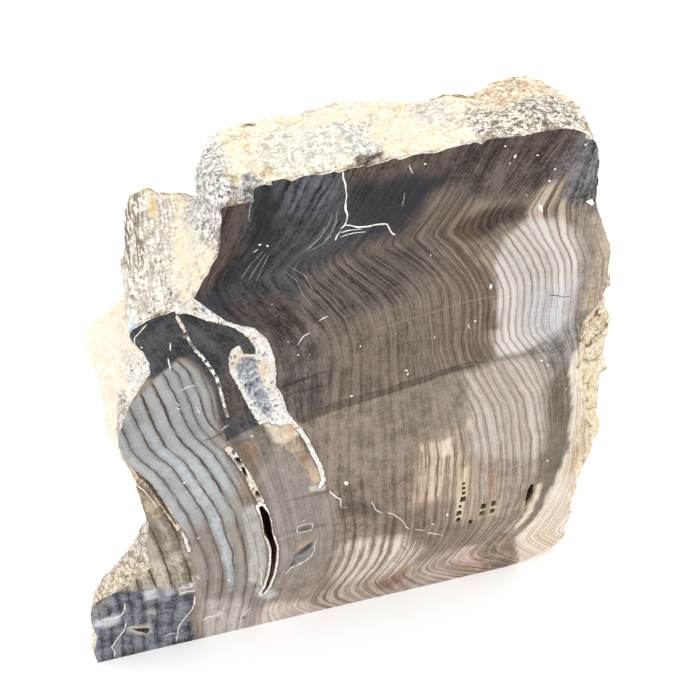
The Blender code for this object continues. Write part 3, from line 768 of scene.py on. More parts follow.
# Areas of the face in the order they are painted: softness of the edge in mm, pale and dark colour,
# then in percent the ring lines, the streaks along the rings, the short grain, the finer lines between
# the rings, the blotches and how warm the ring lines are, and at last the outline.
faceAreas = {
    "heartwood": (1, (64, 58, 52), (44, 39, 34), (35, 70, 50, 30, 30, 30), [(-90, -10), (90, -10),
        (90, 170), (-90, 170)]),
    "upperMiddle": (4, (60, 55, 50), (36, 32, 29), (45, 80, 60, 30, 40, 50), [(-16, 84), (20, 89), (36, 91),
        (38, 100), (35, 112), (33, 122), (36, 130), (20, 132), (8, 129), (-4, 122), (-14, 112)]),
    "upperLeft": (3, (54, 50, 48), (31, 29, 28), (20, 50, 60, 20, 70, 30), [(-16, 84), (-3, 86), (0, 96),
        (-1, 106), (-6, 112), (-14, 110), (-17, 104)]),
    "upperRight": (4, (63, 56, 50), (40, 34, 30), (50, 70, 40, 60, 25, 60), [(20, 92), (35, 93), (38, 100),
        (36, 112), (33, 124), (26, 127), (22, 116), (20, 104)]),
    "feathered": (4, (48, 45, 42), (22, 20, 19), (35, 100, 60, 30, 40, 30), [(-10, 113), (6, 112),
        (16, 118), (20, 126), (16, 131), (4, 128), (-6, 124)]),
    "lowerMiddle": (2, (65.5, 60.5, 55), (44, 40, 35.5), (20, 30, 40, 15, 80, 40), [(-8, 57), (-5, 66),
        (-9, 78), (-12, 83), (12, 87), (30, 90), (36, 76), (34, 60), (20, 57)]),
    "underMiddle": (3, (64, 58, 52.5), (40, 35, 31), (35, 40, 45, 25, 70, 50), [(-6, 30), (-4, 57),
        (21, 58), (21, 46), (22, 33), (12, 30)]),
    "underCrack": (3, (62, 55, 50), (37, 32, 28), (40, 80, 40, 40, 50, 60), [(12, 26), (10, 38), (20, 36),
        (33, 42), (34, 26), (24, 22)]),
    "rightColumns": (2, (80, 73, 65), (52, 44, 37), (60, 80, 40, 40, 30, 80), [(20.5, 38), (20.5, 66),
        (27, 67), (33, 72), (36, 58), (48, 50), (50, 30), (36, 27), (27, 34)]),
    "creamColumns": (1.1, (93, 85, 77), (52, 43, 35), (90, 90, 30, 40, 20, 90), [(21, 43), (21, 66.5),
        (25.7, 65.8), (30.6, 63.4), (32.4, 58.5), (30.6, 51), (27.2, 42)]),
    "topDark": (3.2, (40, 39, 41), (15, 15, 16.5), (12, 60, 60, 15, 40, 30), [(-40, 121), (-30, 119.5),
        (-25, 116.5), (-20, 113.5), (-16, 110), (-14.6, 104), (-12.5, 107), (-11.5, 112), (-9, 119),
        (-6, 124), (-2, 127), (4, 128.6), (9, 130.5), (15, 133), (14, 139), (21, 143), (24, 156),
        (-40, 156)]),
    "topReddish": (2, (45, 41, 39), (17, 16, 16), (12, 90, 50, 10, 50, 30), [(1, 136), (9, 138), (11, 146),
        (8, 150), (1, 148)]),
    "topRight": (1.8, (50, 46, 44), (24, 21, 20), (10, 70, 60, 10, 70, 30), [(17, 140), (24, 137),
        (34, 138), (44, 137), (50, 133), (59, 131), (60, 156), (18, 156)]),
    "topBlue": (2.5, (58, 58, 58), (25, 23, 23), (10, 60, 60, 10, 90, 30), [(49, 133), (60, 130), (60, 150),
        (51, 149), (48, 142)]),
    "tanChevrons": (1.8, (58, 53, 48), (37, 32, 29), (35, 80, 40, 40, 20, 60), [(12, 130.5), (26, 128),
        (30, 132), (25, 141), (18, 142), (14, 136)]),
    "brownKnot": (1.5, (43, 37, 32), (23, 19, 16), (60, 70, 40, 50, 40, 60), [(25.2, 129.7), (23.7, 131.5),
        (27, 133.2), (31, 134.9), (35.1, 135.9), (38.7, 135.8), (41.1, 134.1), (41.2, 131.4), (38, 130.6),
        (34, 129), (30.6, 127.2), (27.6, 127.4)]),
    "paleChevrons": (1.2, (82, 75, 68), (42, 35, 31), (70, 90, 30, 70, 20, 80), [(42, 128.5), (40.5, 133),
        (43, 139), (50, 140), (49, 135), (53, 131.5), (59, 128)]),
    "rightPale": (1.2, (93, 91, 89), (70, 67, 63), (110, 40, 15, 10, 30, 90), [(39, 92.5), (37.4, 98),
        (36.4, 106), (35.9, 114), (34.9, 120), (36.8, 126.8), (42.2, 131.3), (50, 129.5), (56, 125),
        (60, 116), (60, 106), (57, 99), (51, 95.5), (46, 92.5)]),
    "paleLeft": (1.2, (72, 66, 60), (47, 41, 36), (90, 60, 30, 40, 20, 90), [(34.4, 98), (33, 112),
        (30.5, 121), (34, 126), (36.4, 127), (35.4, 118), (36.2, 105), (37.4, 97)]),
    "rightGrey": (2, (70, 66, 62), (45, 41, 37), (15, 50, 30, 10, 70, 60), [(56, 99), (56, 110),
        (57.6, 118), (54, 126), (50, 132), (66, 134), (67, 98)]),
    "rightDark": (1.8, (73, 71, 69), (40, 38, 37), (20, 60, 40, 20, 80, 30), [(43, 90.5), (49, 93),
        (53, 96.5), (58, 99.5), (63, 98), (63, 83), (57, 83), (50, 88)]),
    "rightBands": (2, (87, 83, 80), (64, 59, 54), (75, 50, 25, 30, 30, 100), [(31, 89.5), (40, 91.5),
        (50, 90), (57, 83), (58.5, 70), (58.5, 56), (57, 46), (50, 44), (40, 52), (36, 60), (34, 74)]),
    "bandsLow": (3, (79, 74, 69), (54, 48, 42), (50, 60, 35, 30, 50, 100), [(40, 54), (58, 52), (59, 42),
        (56, 28), (48, 26), (40, 30)]),
    "rightBrown": (2.5, (60, 55, 50), (40, 35, 30), (30, 70, 50, 20, 50, 30), [(56, 86), (62, 84), (67, 60),
        (67, 45), (62, 28), (57, 34), (57.8, 46), (58, 54), (56.8, 64), (54.6, 76)]),
    "bottomBands": (3, (95, 90, 86), (58, 51, 45), (80, 100, 30, 40, 30, 80), [(-3, 8), (-2.5, 18), (0, 33),
        (6, 32), (14, 30), (20, 29), (24, 20), (20, 8)]),
    "bottomChevrons": (2.5, (84, 78, 73), (55, 48, 42), (60, 100, 30, 45, 40, 80), [(-8, -4), (-8, 10),
        (0, 12), (18, 12), (34, 16), (44, 12), (44, -4)]),
    "bottomRight": (2, (86, 77, 69), (50, 41, 34), (50, 100, 40, 70, 30, 90), [(36, -4), (38, 12), (46, 14),
        (57, 12), (60, -4)]),
    "bottomDark": (2.2, (73, 67, 62), (47, 42, 37), (30, 80, 60, 40, 60, 60), [(42, 11), (41, 20), (45, 28),
        (55, 27), (59, 20), (56, 12), (49, 10)]),
    "orangePoint": (0.8, (80, 69, 56), (60, 47, 36), (30, 50, 30, 10, 30, 30), [(16.5, 8.8), (17.6, 13),
        (19.6, 13.6), (19.6, 10)]),
    "wedge": (1.6, (71, 67, 64), (54, 48, 43), (10, 30, 50, 10, 60, 30), [(-20, 9), (-20.5, 20), (-17, 24),
        (-9, 29), (-4.5, 26), (-6, 18), (-11, 10)]),
    "pinkFoot": (3, (97, 92, 89), (75, 68, 64), (50, 70, 30, 30, 50, 80), [(-34, -4), (-33, 5), (-28, 10.5),
        (-20, 10.5), (-11, 7), (-7, -4)]),
    "besideSlot": (1.2, (70, 67, 64), (54, 50, 47), (20, 45, 40, 10, 50, 30), [(-20, 24), (-20.5, 40),
        (-20, 56), (-22, 66), (-18, 78), (-12, 72), (-7.5, 58), (-3, 52), (-2.4, 38), (-3.4, 26),
        (-9, 26)]),
    "lobeLow": (2, (68, 65, 62), (49, 45, 41), (90, 50, 30, 5, 40, 60), [(-44, -4), (-43, 8), (-42.4, 40),
        (-44, 56), (-30, 60), (-22, 56), (-20, 36), (-22, 20), (-25, 8), (-30, -4)]),
    "leftStrip": (0.7, (84, 84, 82), (61, 58, 54), (40, 40, 30, 10, 50, 30), [(-24.5, 20), (-22, 30),
        (-22.2, 56), (-26.8, 56), (-26.4, 36), (-27.6, 24)]),
    "lobeMiddle": (4, (76, 78, 79), (55, 54, 53), (115, 40, 15, 0, 50, 20), [(-56, 84), (-50, 73),
        (-46, 62), (-44, 52), (-31, 52), (-27, 66), (-28, 78), (-33, 84)]),
    "lobeUpper": (1.2, (72, 73, 73), (54, 54, 53), (115, 30, 12, 0, 50, 15), [(-56, 84), (-56, 100),
        (-44, 104.5), (-38.5, 108), (-35, 108.5), (-31.4, 104), (-30.2, 96), (-29.4, 88), (-32, 82),
        (-44, 78)]),
    "stripLow": (1.4, (61, 59, 56), (42, 39, 36), (10, 50, 50, 10, 80, 30), [(-29.8, 88), (-20, 87.5),
        (-18, 82), (-17, 76), (-21, 68), (-27, 78)]),
    "orangePatch": (1, (66, 57, 48), (47, 40, 34), (10, 50, 40, 10, 70, 30), [(-26.2, 78.6), (-21.6, 79.4),
        (-20.8, 74), (-22.4, 70), (-24.6, 70.4)]),
    "cap": (0.45, (38, 38, 40), (13, 13, 15), (10, 50, 35, 5, 80, 30), [(-50, 122), (-30, 124), (-19, 112),
        (-19, 106), (-23, 106), (-21, 92), (-20.8, 84), (-28.6, 81), (-29.4, 92), (-30, 99), (-31.4, 104.6),
        (-34, 108.4), (-36, 108.8), (-37.6, 107), (-40.2, 105), (-42, 103.8), (-46.8, 99.2), (-49.4, 97.6),
        (-49, 100), (-44, 110)]),
    "blockStrip": (0.5, (76, 72, 66), (50, 46, 41), (130, 60, 50, 10, 90, 10), [(-56, 78), (-50, 76.5),
        (-46.6, 66), (-44.6, 57), (-42.8, 46), (-42.4, 30), (-58, 34)]),
    "blockOlive": (1.4, (84, 80, 74), (50, 46, 40), (130, 50, 50, 10, 80, 10), [(-60, 42), (-50, 41),
        (-43.4, 44), (-42.6, 28), (-50, 28), (-60, 30)]),
    "blockDark": (1, (57, 59, 63), (22, 22, 25), (70, 30, 30, 0, 110, 10), [(-80, -4), (-80, 34), (-66, 33),
        (-58, 30.5), (-54.6, 31), (-50, 26.4), (-46, 23.4), (-43.4, 22), (-44.4, 18), (-46, 14), (-46.4, 8),
        (-45.4, -4)]),
    "veinBlue": (0.4, (95, 96, 95), (42, 45, 48), (0, 20, 50, 0, 100, 30), veinFloor),
    "veinBrown": (0.7, (83, 76, 69), (58, 50, 43), (5, 50, 50, 10, 100, 30), veinBrown),
    "rimPale": (0.35, (100, 99, 95), (84, 75, 66), (60, 70, 30, 20, 50, 100), [(60.4, 83.5), (61.8, 78.7),
        (63.6, 72.4), (64.6, 66), (65, 60), (66.3, 54.3), (65.5, 47), (64.6, 39), (63, 34), (62.5, 28),
        (60.5, 22.5), (57, 17), (55.5, 15), (56.5, 10), (58.5, 3), (60, -4), (84, -4), (84, 94), (61, 90)]),
    "quietMiddle": (4, (57, 52, 47), (38, 34, 30), (30, 50, 60, 15, 60, 40), [(-2, 87), (8, 89), (21, 91),
        (23, 104), (22, 112), (12, 113), (2, 112), (-3, 104)]),
    "rightTan": (1, (82, 76, 68), (62, 55, 47), (40, 80, 40, 10, 80, 80), [(60, 103), (60.4, 112),
        (60, 122), (57, 129), (60, 131), (66, 124), (66, 103)]),
    "spurTan": (0.4, (80, 74, 64), (52, 45, 37), (10, 50, 50, 0, 110, 30), [(-52.4, 77), (-50, 74.4),
        (-46.9, 63), (-46, 57.4), (-49.6, 58), (-51.8, 64), (-52.6, 71)]),
    "blockCorner": (1, (66, 66, 66), (36, 36, 37), (10, 30, 40, 0, 120, 30), [(-80, 20), (-80, 34),
        (-70, 34), (-64, 30.5), (-65, 26), (-72, 22)]),
    "bedCorner": (0.35, (84, 85, 86), (38, 40, 43), (0, 30, 50, 0, 120, 30), [(-25.4, 110), (-23.4, 110.4),
        (-21.9, 108.2), (-22, 106.6), (-24.9, 106)]),
    # Painted sheen: pale bluish light along rings 4 and 5 of the left lobe, standing in for the shine of
    # the polish.
    "paintedLobeSheen": (1.1, (81, 83.5, 86), (62, 63, 64), (100, 30, 15, 0, 90, 20), [(-47.3, 92), (-46, 86),
        (-43.9, 79.5), (-40, 70), (-38.3, 64.5), (-36.5, 58), (-35.7, 52), (-34.8, 45), (-34.2, 35),
        (-33.4, 26), (-32.6, 20), (-31.8, 26), (-31.2, 36), (-31.6, 44), (-32.3, 53), (-33.5, 59),
        (-35.2, 64.5), (-36.9, 70.5), (-39.4, 78), (-42.4, 83.5), (-44.4, 90)]),
    # Painted reflection: a pale bluish sheen on the dark top of the face, standing in for the sky in the
    # polish.
    "paintedBlueSheen": (2, (47, 48, 52), (16, 16, 18), (10, 100, 40, 10, 50, 30), [(-12.9, 149), (-0.4, 149),
        (0.2, 143.4), (-4, 139.4), (-9.9, 140.3), (-13.2, 144)]),
    "blackCore": (1.6, (28, 28, 31), (11, 11, 13), (10, 60, 50, 5, 35, 30), [(-15.9, 147.5), (-13, 147.5),
        (-13.4, 140.8), (-13.1, 135.5), (-15.2, 130.3), (-19.1, 127.4), (-22.9, 125.1), (-25.5, 123.4),
        (-22.2, 119), (-17.6, 114.1), (-21.3, 115.7), (-25.9, 119.7), (-29.1, 123), (-27.2, 124.5),
        (-22.6, 128.7), (-18.6, 133.6), (-17.3, 138.8), (-17.2, 144)]),
    "edgeBrown": (1.6, (43, 37.5, 35), (21, 17.5, 16), (10, 60, 60, 10, 40, 30), [(-22.6, 150),
        (-17.8, 149), (-17.8, 143.4), (-18.2, 140), (-19.6, 136.2), (-20.6, 132.7), (-22.4, 129.6),
        (-25.2, 126.6), (-28, 124.6), (-34, 122), (-34, 128), (-30, 134), (-28, 150)]),
    "lowBrown": (2, (45, 41, 39), (22, 19, 18), (10, 70, 50, 10, 60, 30), [(-24, 117.5), (-20.6, 117.2),
        (-16, 112.6), (-12, 108), (-9, 113), (-12, 120), (-15, 123), (-20, 121)]),
    "whiteChevron": (0.6, (97, 91, 87), (70, 60, 54), (40, 80, 30, 30, 30, 100), [(33.4, 11.2), (38, 16.4),
        (42.4, 15.7), (39.4, 12.5), (44.8, 4.5), (38.8, 7.5)]),
    "coreRight": (2.8, (29, 28.5, 30.5), (11, 11, 12.5), (10, 60, 50, 10, 40, 30), [(1.7, 144.8),
        (3.8, 145.5), (8.2, 145.4), (12.7, 145.2), (21.2, 144.7), (22.4, 143), (19.6, 140.2), (16.5, 135.6),
        (14, 131.5), (9.9, 132.2), (5.2, 134.8), (1.7, 136.4)]),
    "brownTop": (1.4, (47, 42, 39), (21, 18, 17), (10, 60, 60, 10, 60, 30), [(1.7, 145.6), (2, 148),
        (8, 151), (22, 153), (36, 156), (44, 154), (41.9, 146.3), (36.7, 144.9), (25.8, 144.9),
        (21.2, 144.8), (12.7, 145.4), (3.8, 145.8)]),
    "bandEdge": (0.8, (56, 50, 45.5), (36, 31, 28), (60, 70, 40, 30, 40, 60), [(31.4, 122.3), (36, 117.3),
        (37.1, 111.1), (38.3, 101.2), (34.8, 101.6), (33.2, 111.8), (30.9, 118.3)]),
    "zigzag": (0.8, (100, 98, 94), (88, 79, 69), (75, 100, 30, 90, 20, 90), [(59.4, -4), (58.7, 2.9),
        (56.4, 10.8), (59.1, 15.9), (66.8, 23.2), (70.3, 28.4), (78, 28), (78, -4)]),
    "footGrey": (1, (74, 66, 59), (46, 39, 33), (30, 90, 70, 30, 90, 50), [(47.6, -4), (45.4, 4),
        (44.4, 10.9), (47.4, 19.4), (51.4, 19.6), (55.8, 10.4), (56.9, 3.4), (56.6, -4)]),
    "lowOrange": (1.2, (70, 60, 51), (45, 35, 29), (50, 100, 40, 50, 40, 80), [(8.3, 8.4), (15.8, 9.1),
        (19.9, 12.7), (19.1, 6.6), (15, 2.7), (11, 4)]),
    "pitRim": (0.25, (92, 85, 72), (60, 50, 38), (10, 40, 40, 0, 80, 30), [(55.8, 38.6), (55.1, 34.7),
        (55.1, 30), (56.2, 27.8), (56.4, 31), (56.2, 36)]),
    "lobeFoot": (3, (85, 82, 80), (63, 59, 57), (50, 60, 30, 5, 60, 40), [(-43, -4), (-43, 10), (-40, 18),
        (-30, 16), (-28, 6), (-30, -4)]),
    "underColumns": (2, (67, 60, 55), (43, 37, 33), (60, 80, 50, 40, 50, 60), [(20, 28), (20, 38), (26, 42),
        (33, 40), (34, 28), (27, 25)]),
    "rimUp": (1.6, (95, 89, 79), (74, 64, 52), (70, 70, 40, 30, 70, 100), [(66.5, 42), (67.5, 54),
        (66.4, 66), (65, 76), (78, 80), (84, 42)]),
    "lobeWedge": (0.4, (66, 63, 58), (44, 41, 37), (30, 40, 40, 0, 80, 30), [(-50, 97.2), (-46.6, 99.6),
        (-43.6, 101.4), (-41.9, 103.6), (-43, 105), (-49, 101)]),
    "capRight": (1.5, (38, 38, 39), (13, 13, 15), (10, 50, 30, 0, 80, 30), [(-33, 116), (-30, 119),
        (-20, 112), (-20, 107), (-24, 107), (-28, 104)]),
    "stripBrown": (1.4, (44, 41, 39), (23, 21, 20), (10, 50, 40, 0, 70, 30), [(-28, 86.5), (-21.6, 87),
        (-22.6, 95), (-25.8, 103), (-28.2, 98)]),
    "creamStep": (0.8, (99, 96, 89), (80, 72, 62), (0, 30, 50, 0, 90, 30), [(-20.4, 85.6), (-18.4, 82.2),
        (-16.8, 78), (-14.4, 76.2), (-10.6, 78.8), (-10.2, 80.6), (-12.6, 84), (-13.4, 86.6), (-17, 86.2)]),
    "ochreSpot": (0.5, (90, 82, 70), (80, 69, 55), (0, 30, 50, 0, 60, 30), [(-15.2, 82), (-11.6, 82.4),
        (-10.6, 80.4), (-12.8, 79.4), (-14.6, 80)]),
    "creamFoot": (0.6, (90, 82, 72), (74, 63, 52), (0, 40, 40, 0, 60, 30), [(-8.9, 64.4), (-6.4, 66),
        (-5.6, 63), (-5.4, 59.4), (-8.6, 59.2)]),
    "footBlock": (0.3, (97, 95, 92), (80, 76, 72), (0, 30, 60, 0, 60, 30), [(-9.3, 58.6), (-4.9, 59),
        (-4.8, 56.4), (-8.6, 56.4)]),
    "slotHalo": (0.8, (84, 86, 87), (62, 64, 66), (10, 30, 30, 0, 100, 30), [(-26.2, 18.6), (-24, 20.4),
        (-22.4, 17.6), (-20.2, 15.6), (-20.4, 12.6), (-23.6, 12.4), (-26, 14.4)]),
    "lensGrey": (0.35, (70, 71, 71), (48, 49, 50), (0, 30, 40, 0, 90, 30), lensOutline),
    "lensDark": (0.3, (42, 42, 43), (26, 26, 27), (0, 30, 40, 0, 60, 30), [(-15, 30), (-12.4, 32.6),
        (-8.8, 35), (-9.3, 31.6), (-12, 29.6)]),
    "lensOrange": (0.45, (82, 72, 60), (62, 51, 41), (0, 30, 40, 0, 60, 30), [(-15.4, 31), (-12.8, 34.2),
        (-9.6, 37.4), (-8, 37.2), (-8.6, 35.8), (-12, 33.4)]),
    "pocketGrey": (0.4, (66, 65, 63), (45, 43, 41), (0, 30, 40, 0, 60, 30), [(-13, 40.2), (-13, 43.2),
        (-8.8, 43.4), (-8.7, 40.6)]),
    "creamPits": (0.7, (98, 93, 82), (76, 66, 52), (20, 60, 40, 0, 40, 90), [(34.1, 53.4), (35.4, 53.6),
        (36.3, 46), (36.5, 38), (36.2, 30), (34, 30), (34, 40), (34, 47)]),
    "creamPitsRight": (0.6, (90, 83, 72), (66, 57, 46), (20, 60, 40, 0, 40, 30), [(41.3, 33.6),
        (43.6, 33.8), (43.6, 29.2), (41.4, 29.2)]),
    "creamPitsFar": (0.6, (92, 86, 75), (68, 60, 48), (20, 60, 40, 0, 40, 30), [(44.6, 35.6), (47, 35.8),
        (47, 29), (44.6, 29)]),
    "orangeLine": (0.5, (78, 62, 46), (58, 42, 28), (20, 50, 40, 0, 40, 30), [(42.8, 50.4), (43.8, 50.4),
        (45.4, 38), (44.2, 38)]),
    "tallCream": (0.9, (100, 95, 88), (85, 77, 68), (20, 50, 30, 0, 30, 30), [(27.4, 60), (27.4, 66.2),
        (29.8, 66.4), (29.8, 60)]),
    "sliverCream": (0.8, (100, 96, 90), (86, 78, 70), (10, 40, 30, 0, 30, 30), [(33.4, 72.8), (34.9, 71.4),
        (35, 67.6), (33.8, 68.4)]),
    "pitCrescent": (0.2, (100, 96, 88), (80, 70, 56), (10, 50, 30, 0, 60, 30), [(58.7, 39.9), (60, 39),
        (60.2, 33.2), (59.5, 27.1), (57.5, 22.2), (55.2, 19.2), (54.4, 20.7), (56.6, 24.9), (57.9, 30.8),
        (58.6, 35.1)]),
    "blockPale": (0.5, (86, 88, 90), (66, 67, 69), (10, 30, 40, 0, 80, 30), [(-56.6, 29.4), (-52.6, 29.6),
        (-52.7, 25), (-56.2, 25.2)]),
    "blockPaleRight": (0.5, (76, 78, 80), (56, 57, 59), (10, 30, 40, 0, 80, 30), [(-51, 28.6), (-48.4, 29),
        (-48.4, 25), (-50.8, 25)]),
    "blockPit": (0.35, (95, 95, 94), (62, 60, 58), (0, 30, 50, 0, 100, 30), [(-47.6, 28), (-42.6, 28.4),
        (-42.4, 24.2), (-47.2, 24)]),
    "blockCloud": (1, (88, 89, 90), (56, 57, 60), (0, 30, 50, 0, 100, 30), [(-70.4, 21.4), (-66.6, 21.8),
        (-63.6, 20.4), (-65, 17.6), (-69, 16.6), (-72, 18)]),
    "blockRim": (0.5, (88, 87, 83), (58, 56, 53), (0, 30, 50, 0, 90, 30), [(-63.6, 13.8), (-61.2, 14.6),
        (-57, 13.6), (-56.6, 10.6), (-58.6, 8.2), (-61.4, 9.4)]),
    "blockGreen": (0.6, (78, 80, 76), (58, 60, 56), (0, 30, 50, 0, 60, 30), [(-57, 20.4), (-54.8, 20),
        (-54.8, 17.6), (-57, 17.8)]),
    "creamChip": (0.6, (92, 89, 84), (74, 70, 65), (0, 30, 40, 0, 60, 30), [(-41.6, 8.6), (-39, 12),
        (-36.4, 12.2), (-37, 9.6)]),
    "rightBlue": (4, (90, 90, 91), (72, 71, 71), (55, 40, 15, 10, 60, 80), [(44, 112), (56, 112),
        (56.6, 98), (52, 95), (47, 97), (43.6, 104)]),
}

# Soft darker bars that cross the rings: path, half width in mm, strength.
crossBars = [
    ([(-10, 83.4), (-5.4, 84.8), (2.9, 86.6), (11.2, 87.7), (19.7, 89.2), (28.2, 91.1), (33, 91.8)], 0.8,
      0.42),
    ([(-9.8, 82.5), (-5.5, 83.7), (2.9, 85.6), (11.2, 86.9), (19.7, 88.4), (28.2, 90.6), (30.7, 91.3)],
      0.22, 0.5),
    ([(-8, 85.4), (-5.4, 86), (2, 87.6), (11.2, 88.7), (20, 90.2), (29.8, 92)], 0.2, 0.5),
    ([(33, 91.8), (40, 91.2), (48, 91.6), (58, 91)], 0.5, 0.15),
    ([(-14, 95.4), (-7, 97), (-3.5, 97.6)], 0.3, 0.6),
    ([(-13, 92.5), (-5, 93.6)], 0.3, 0.5),
    ([(1, 46.8), (5, 45), (9, 42.6)], 2.4, 0.35),
    ([(-2, 33.4), (5, 32.9), (10, 31.8), (20, 30.4)], 0.7, 0.25),
    ([(-33, 82.8), (-27, 84.5)], 0.3, 0.5),
    ([(-19, 41), (-12, 41.6), (-3, 41), (6, 38)], 0.35, 0.4),
    ([(-18, 54.6), (-8, 55), (-2, 55.6)], 0.3, 0.4),
]

# Pale pitted crust of small crystals: bands along paths, with half widths in mm.
crustBands = [(slotPath, 1.38), (chainPath, 0.85), (crackPath[1:], 0.55), (drusePath, 0.36)]
rightStrip = [(-13.2, 85), (-10.4, 79.8), (-8.9, 75.8), (-7.5, 70.8), (-5.9, 65.6), (-5.1, 60),
              (-6.2, 57.6)]
edgeReach = 3  # how far from the edge of a crust its attribute still counts on, in mm


def crustEdge(x, z):
    # How far inside the crusts a spot lies, below zero outside them.
    foot = (overFoot(x, z) - crustFoot["z"] + 1.6 * softNoise(x / 1.7, z / 2, 61)) * 0.8
    vein = np.minimum(insideBy(x, z, veinOutline), foot)
    edge = np.maximum(vein, 0.62 - pathDistance(x, z, rightStrip))
    for path, half in crustBands:
        edge = np.maximum(edge, half - pathDistance(x, z, path))
    return np.clip(edge, -edgeReach, edgeReach)


def faceColours(x, z):
    # Pale colour, dark colour and traits of each spot, from the areas one after another.
    layers = pale, dark, traits = [np.zeros((len(x), width)) for width in (3, 3, 6)]
    wanderX = softNoise(x / 4, z / 6, 21) + 0.5 * softNoise(x / 1.6, z / 2.6, 22)
    wanderZ = softNoise(x / 4, z / 5, 23) + 0.5 * softNoise(x / 1.6, z / 2.2, 24)
    for soft, light, shade, strengths, outline in faceAreas.values():
        stray = min(soft, 1.6) * 0.5
        share = ease(insideBy(x + stray * wanderX, z + stray * wanderZ, outline), -soft, soft)
        paintOver(layers, share, (pigment(light), pigment(shade), np.array(strengths) / 100))
    for path, half, strength in crossBars:
        away = pathDistance(x, z + 0.2 * wanderZ, path)
        bar = 1 - strength * ease(-away, -1.6 * half, -0.6 * half)
        pale *= bar[:, None]
        dark *= bar[:, None]
    return pale, dark, traits


def addAttribute(item, name, values):
    if values.ndim == 1:
        layer = item.data.attributes.new(name, "FLOAT", "POINT")
        layer.data.foreach_set("value", values)
    else:
        layer = item.data.attributes.new(name, "FLOAT_COLOR", "POINT")
        four = np.ones((len(values), 4))
        four[:, :values.shape[1]] = values
        layer.data.foreach_set("color", four.ravel())


def markFace(item):
    x, y, z = chartPoints(item)
    pale, dark, traits = faceColours(x, z)
    bed = np.clip(insideBy(x, z, veinFloor), -edgeReach, edgeReach)
    # Painted shade: the face darkens where it lies more than 0.45 mm behind its plane, fully by 1.3 mm,
    # less on the crystal bed.
    pits = np.where(bed > -0.5, 0.35, 1) * ease(y, 0.45, 1.3)
    deepest = 6  # below this the walls of the slot keep their own colour
    marks = {"ring": ringAt(x, z), "paleColour": pale, "darkColour": dark, "traits": traits[:, :3],
             "moreTraits": traits[:, 3:], "bed": bed, "crust": crustEdge(x, z),
             "pits": np.where(y > deepest, 0, pits)}
    for name, values in marks.items():
        addAttribute(item, name, values)


markFace(stone)
print("face colours and rings marked")
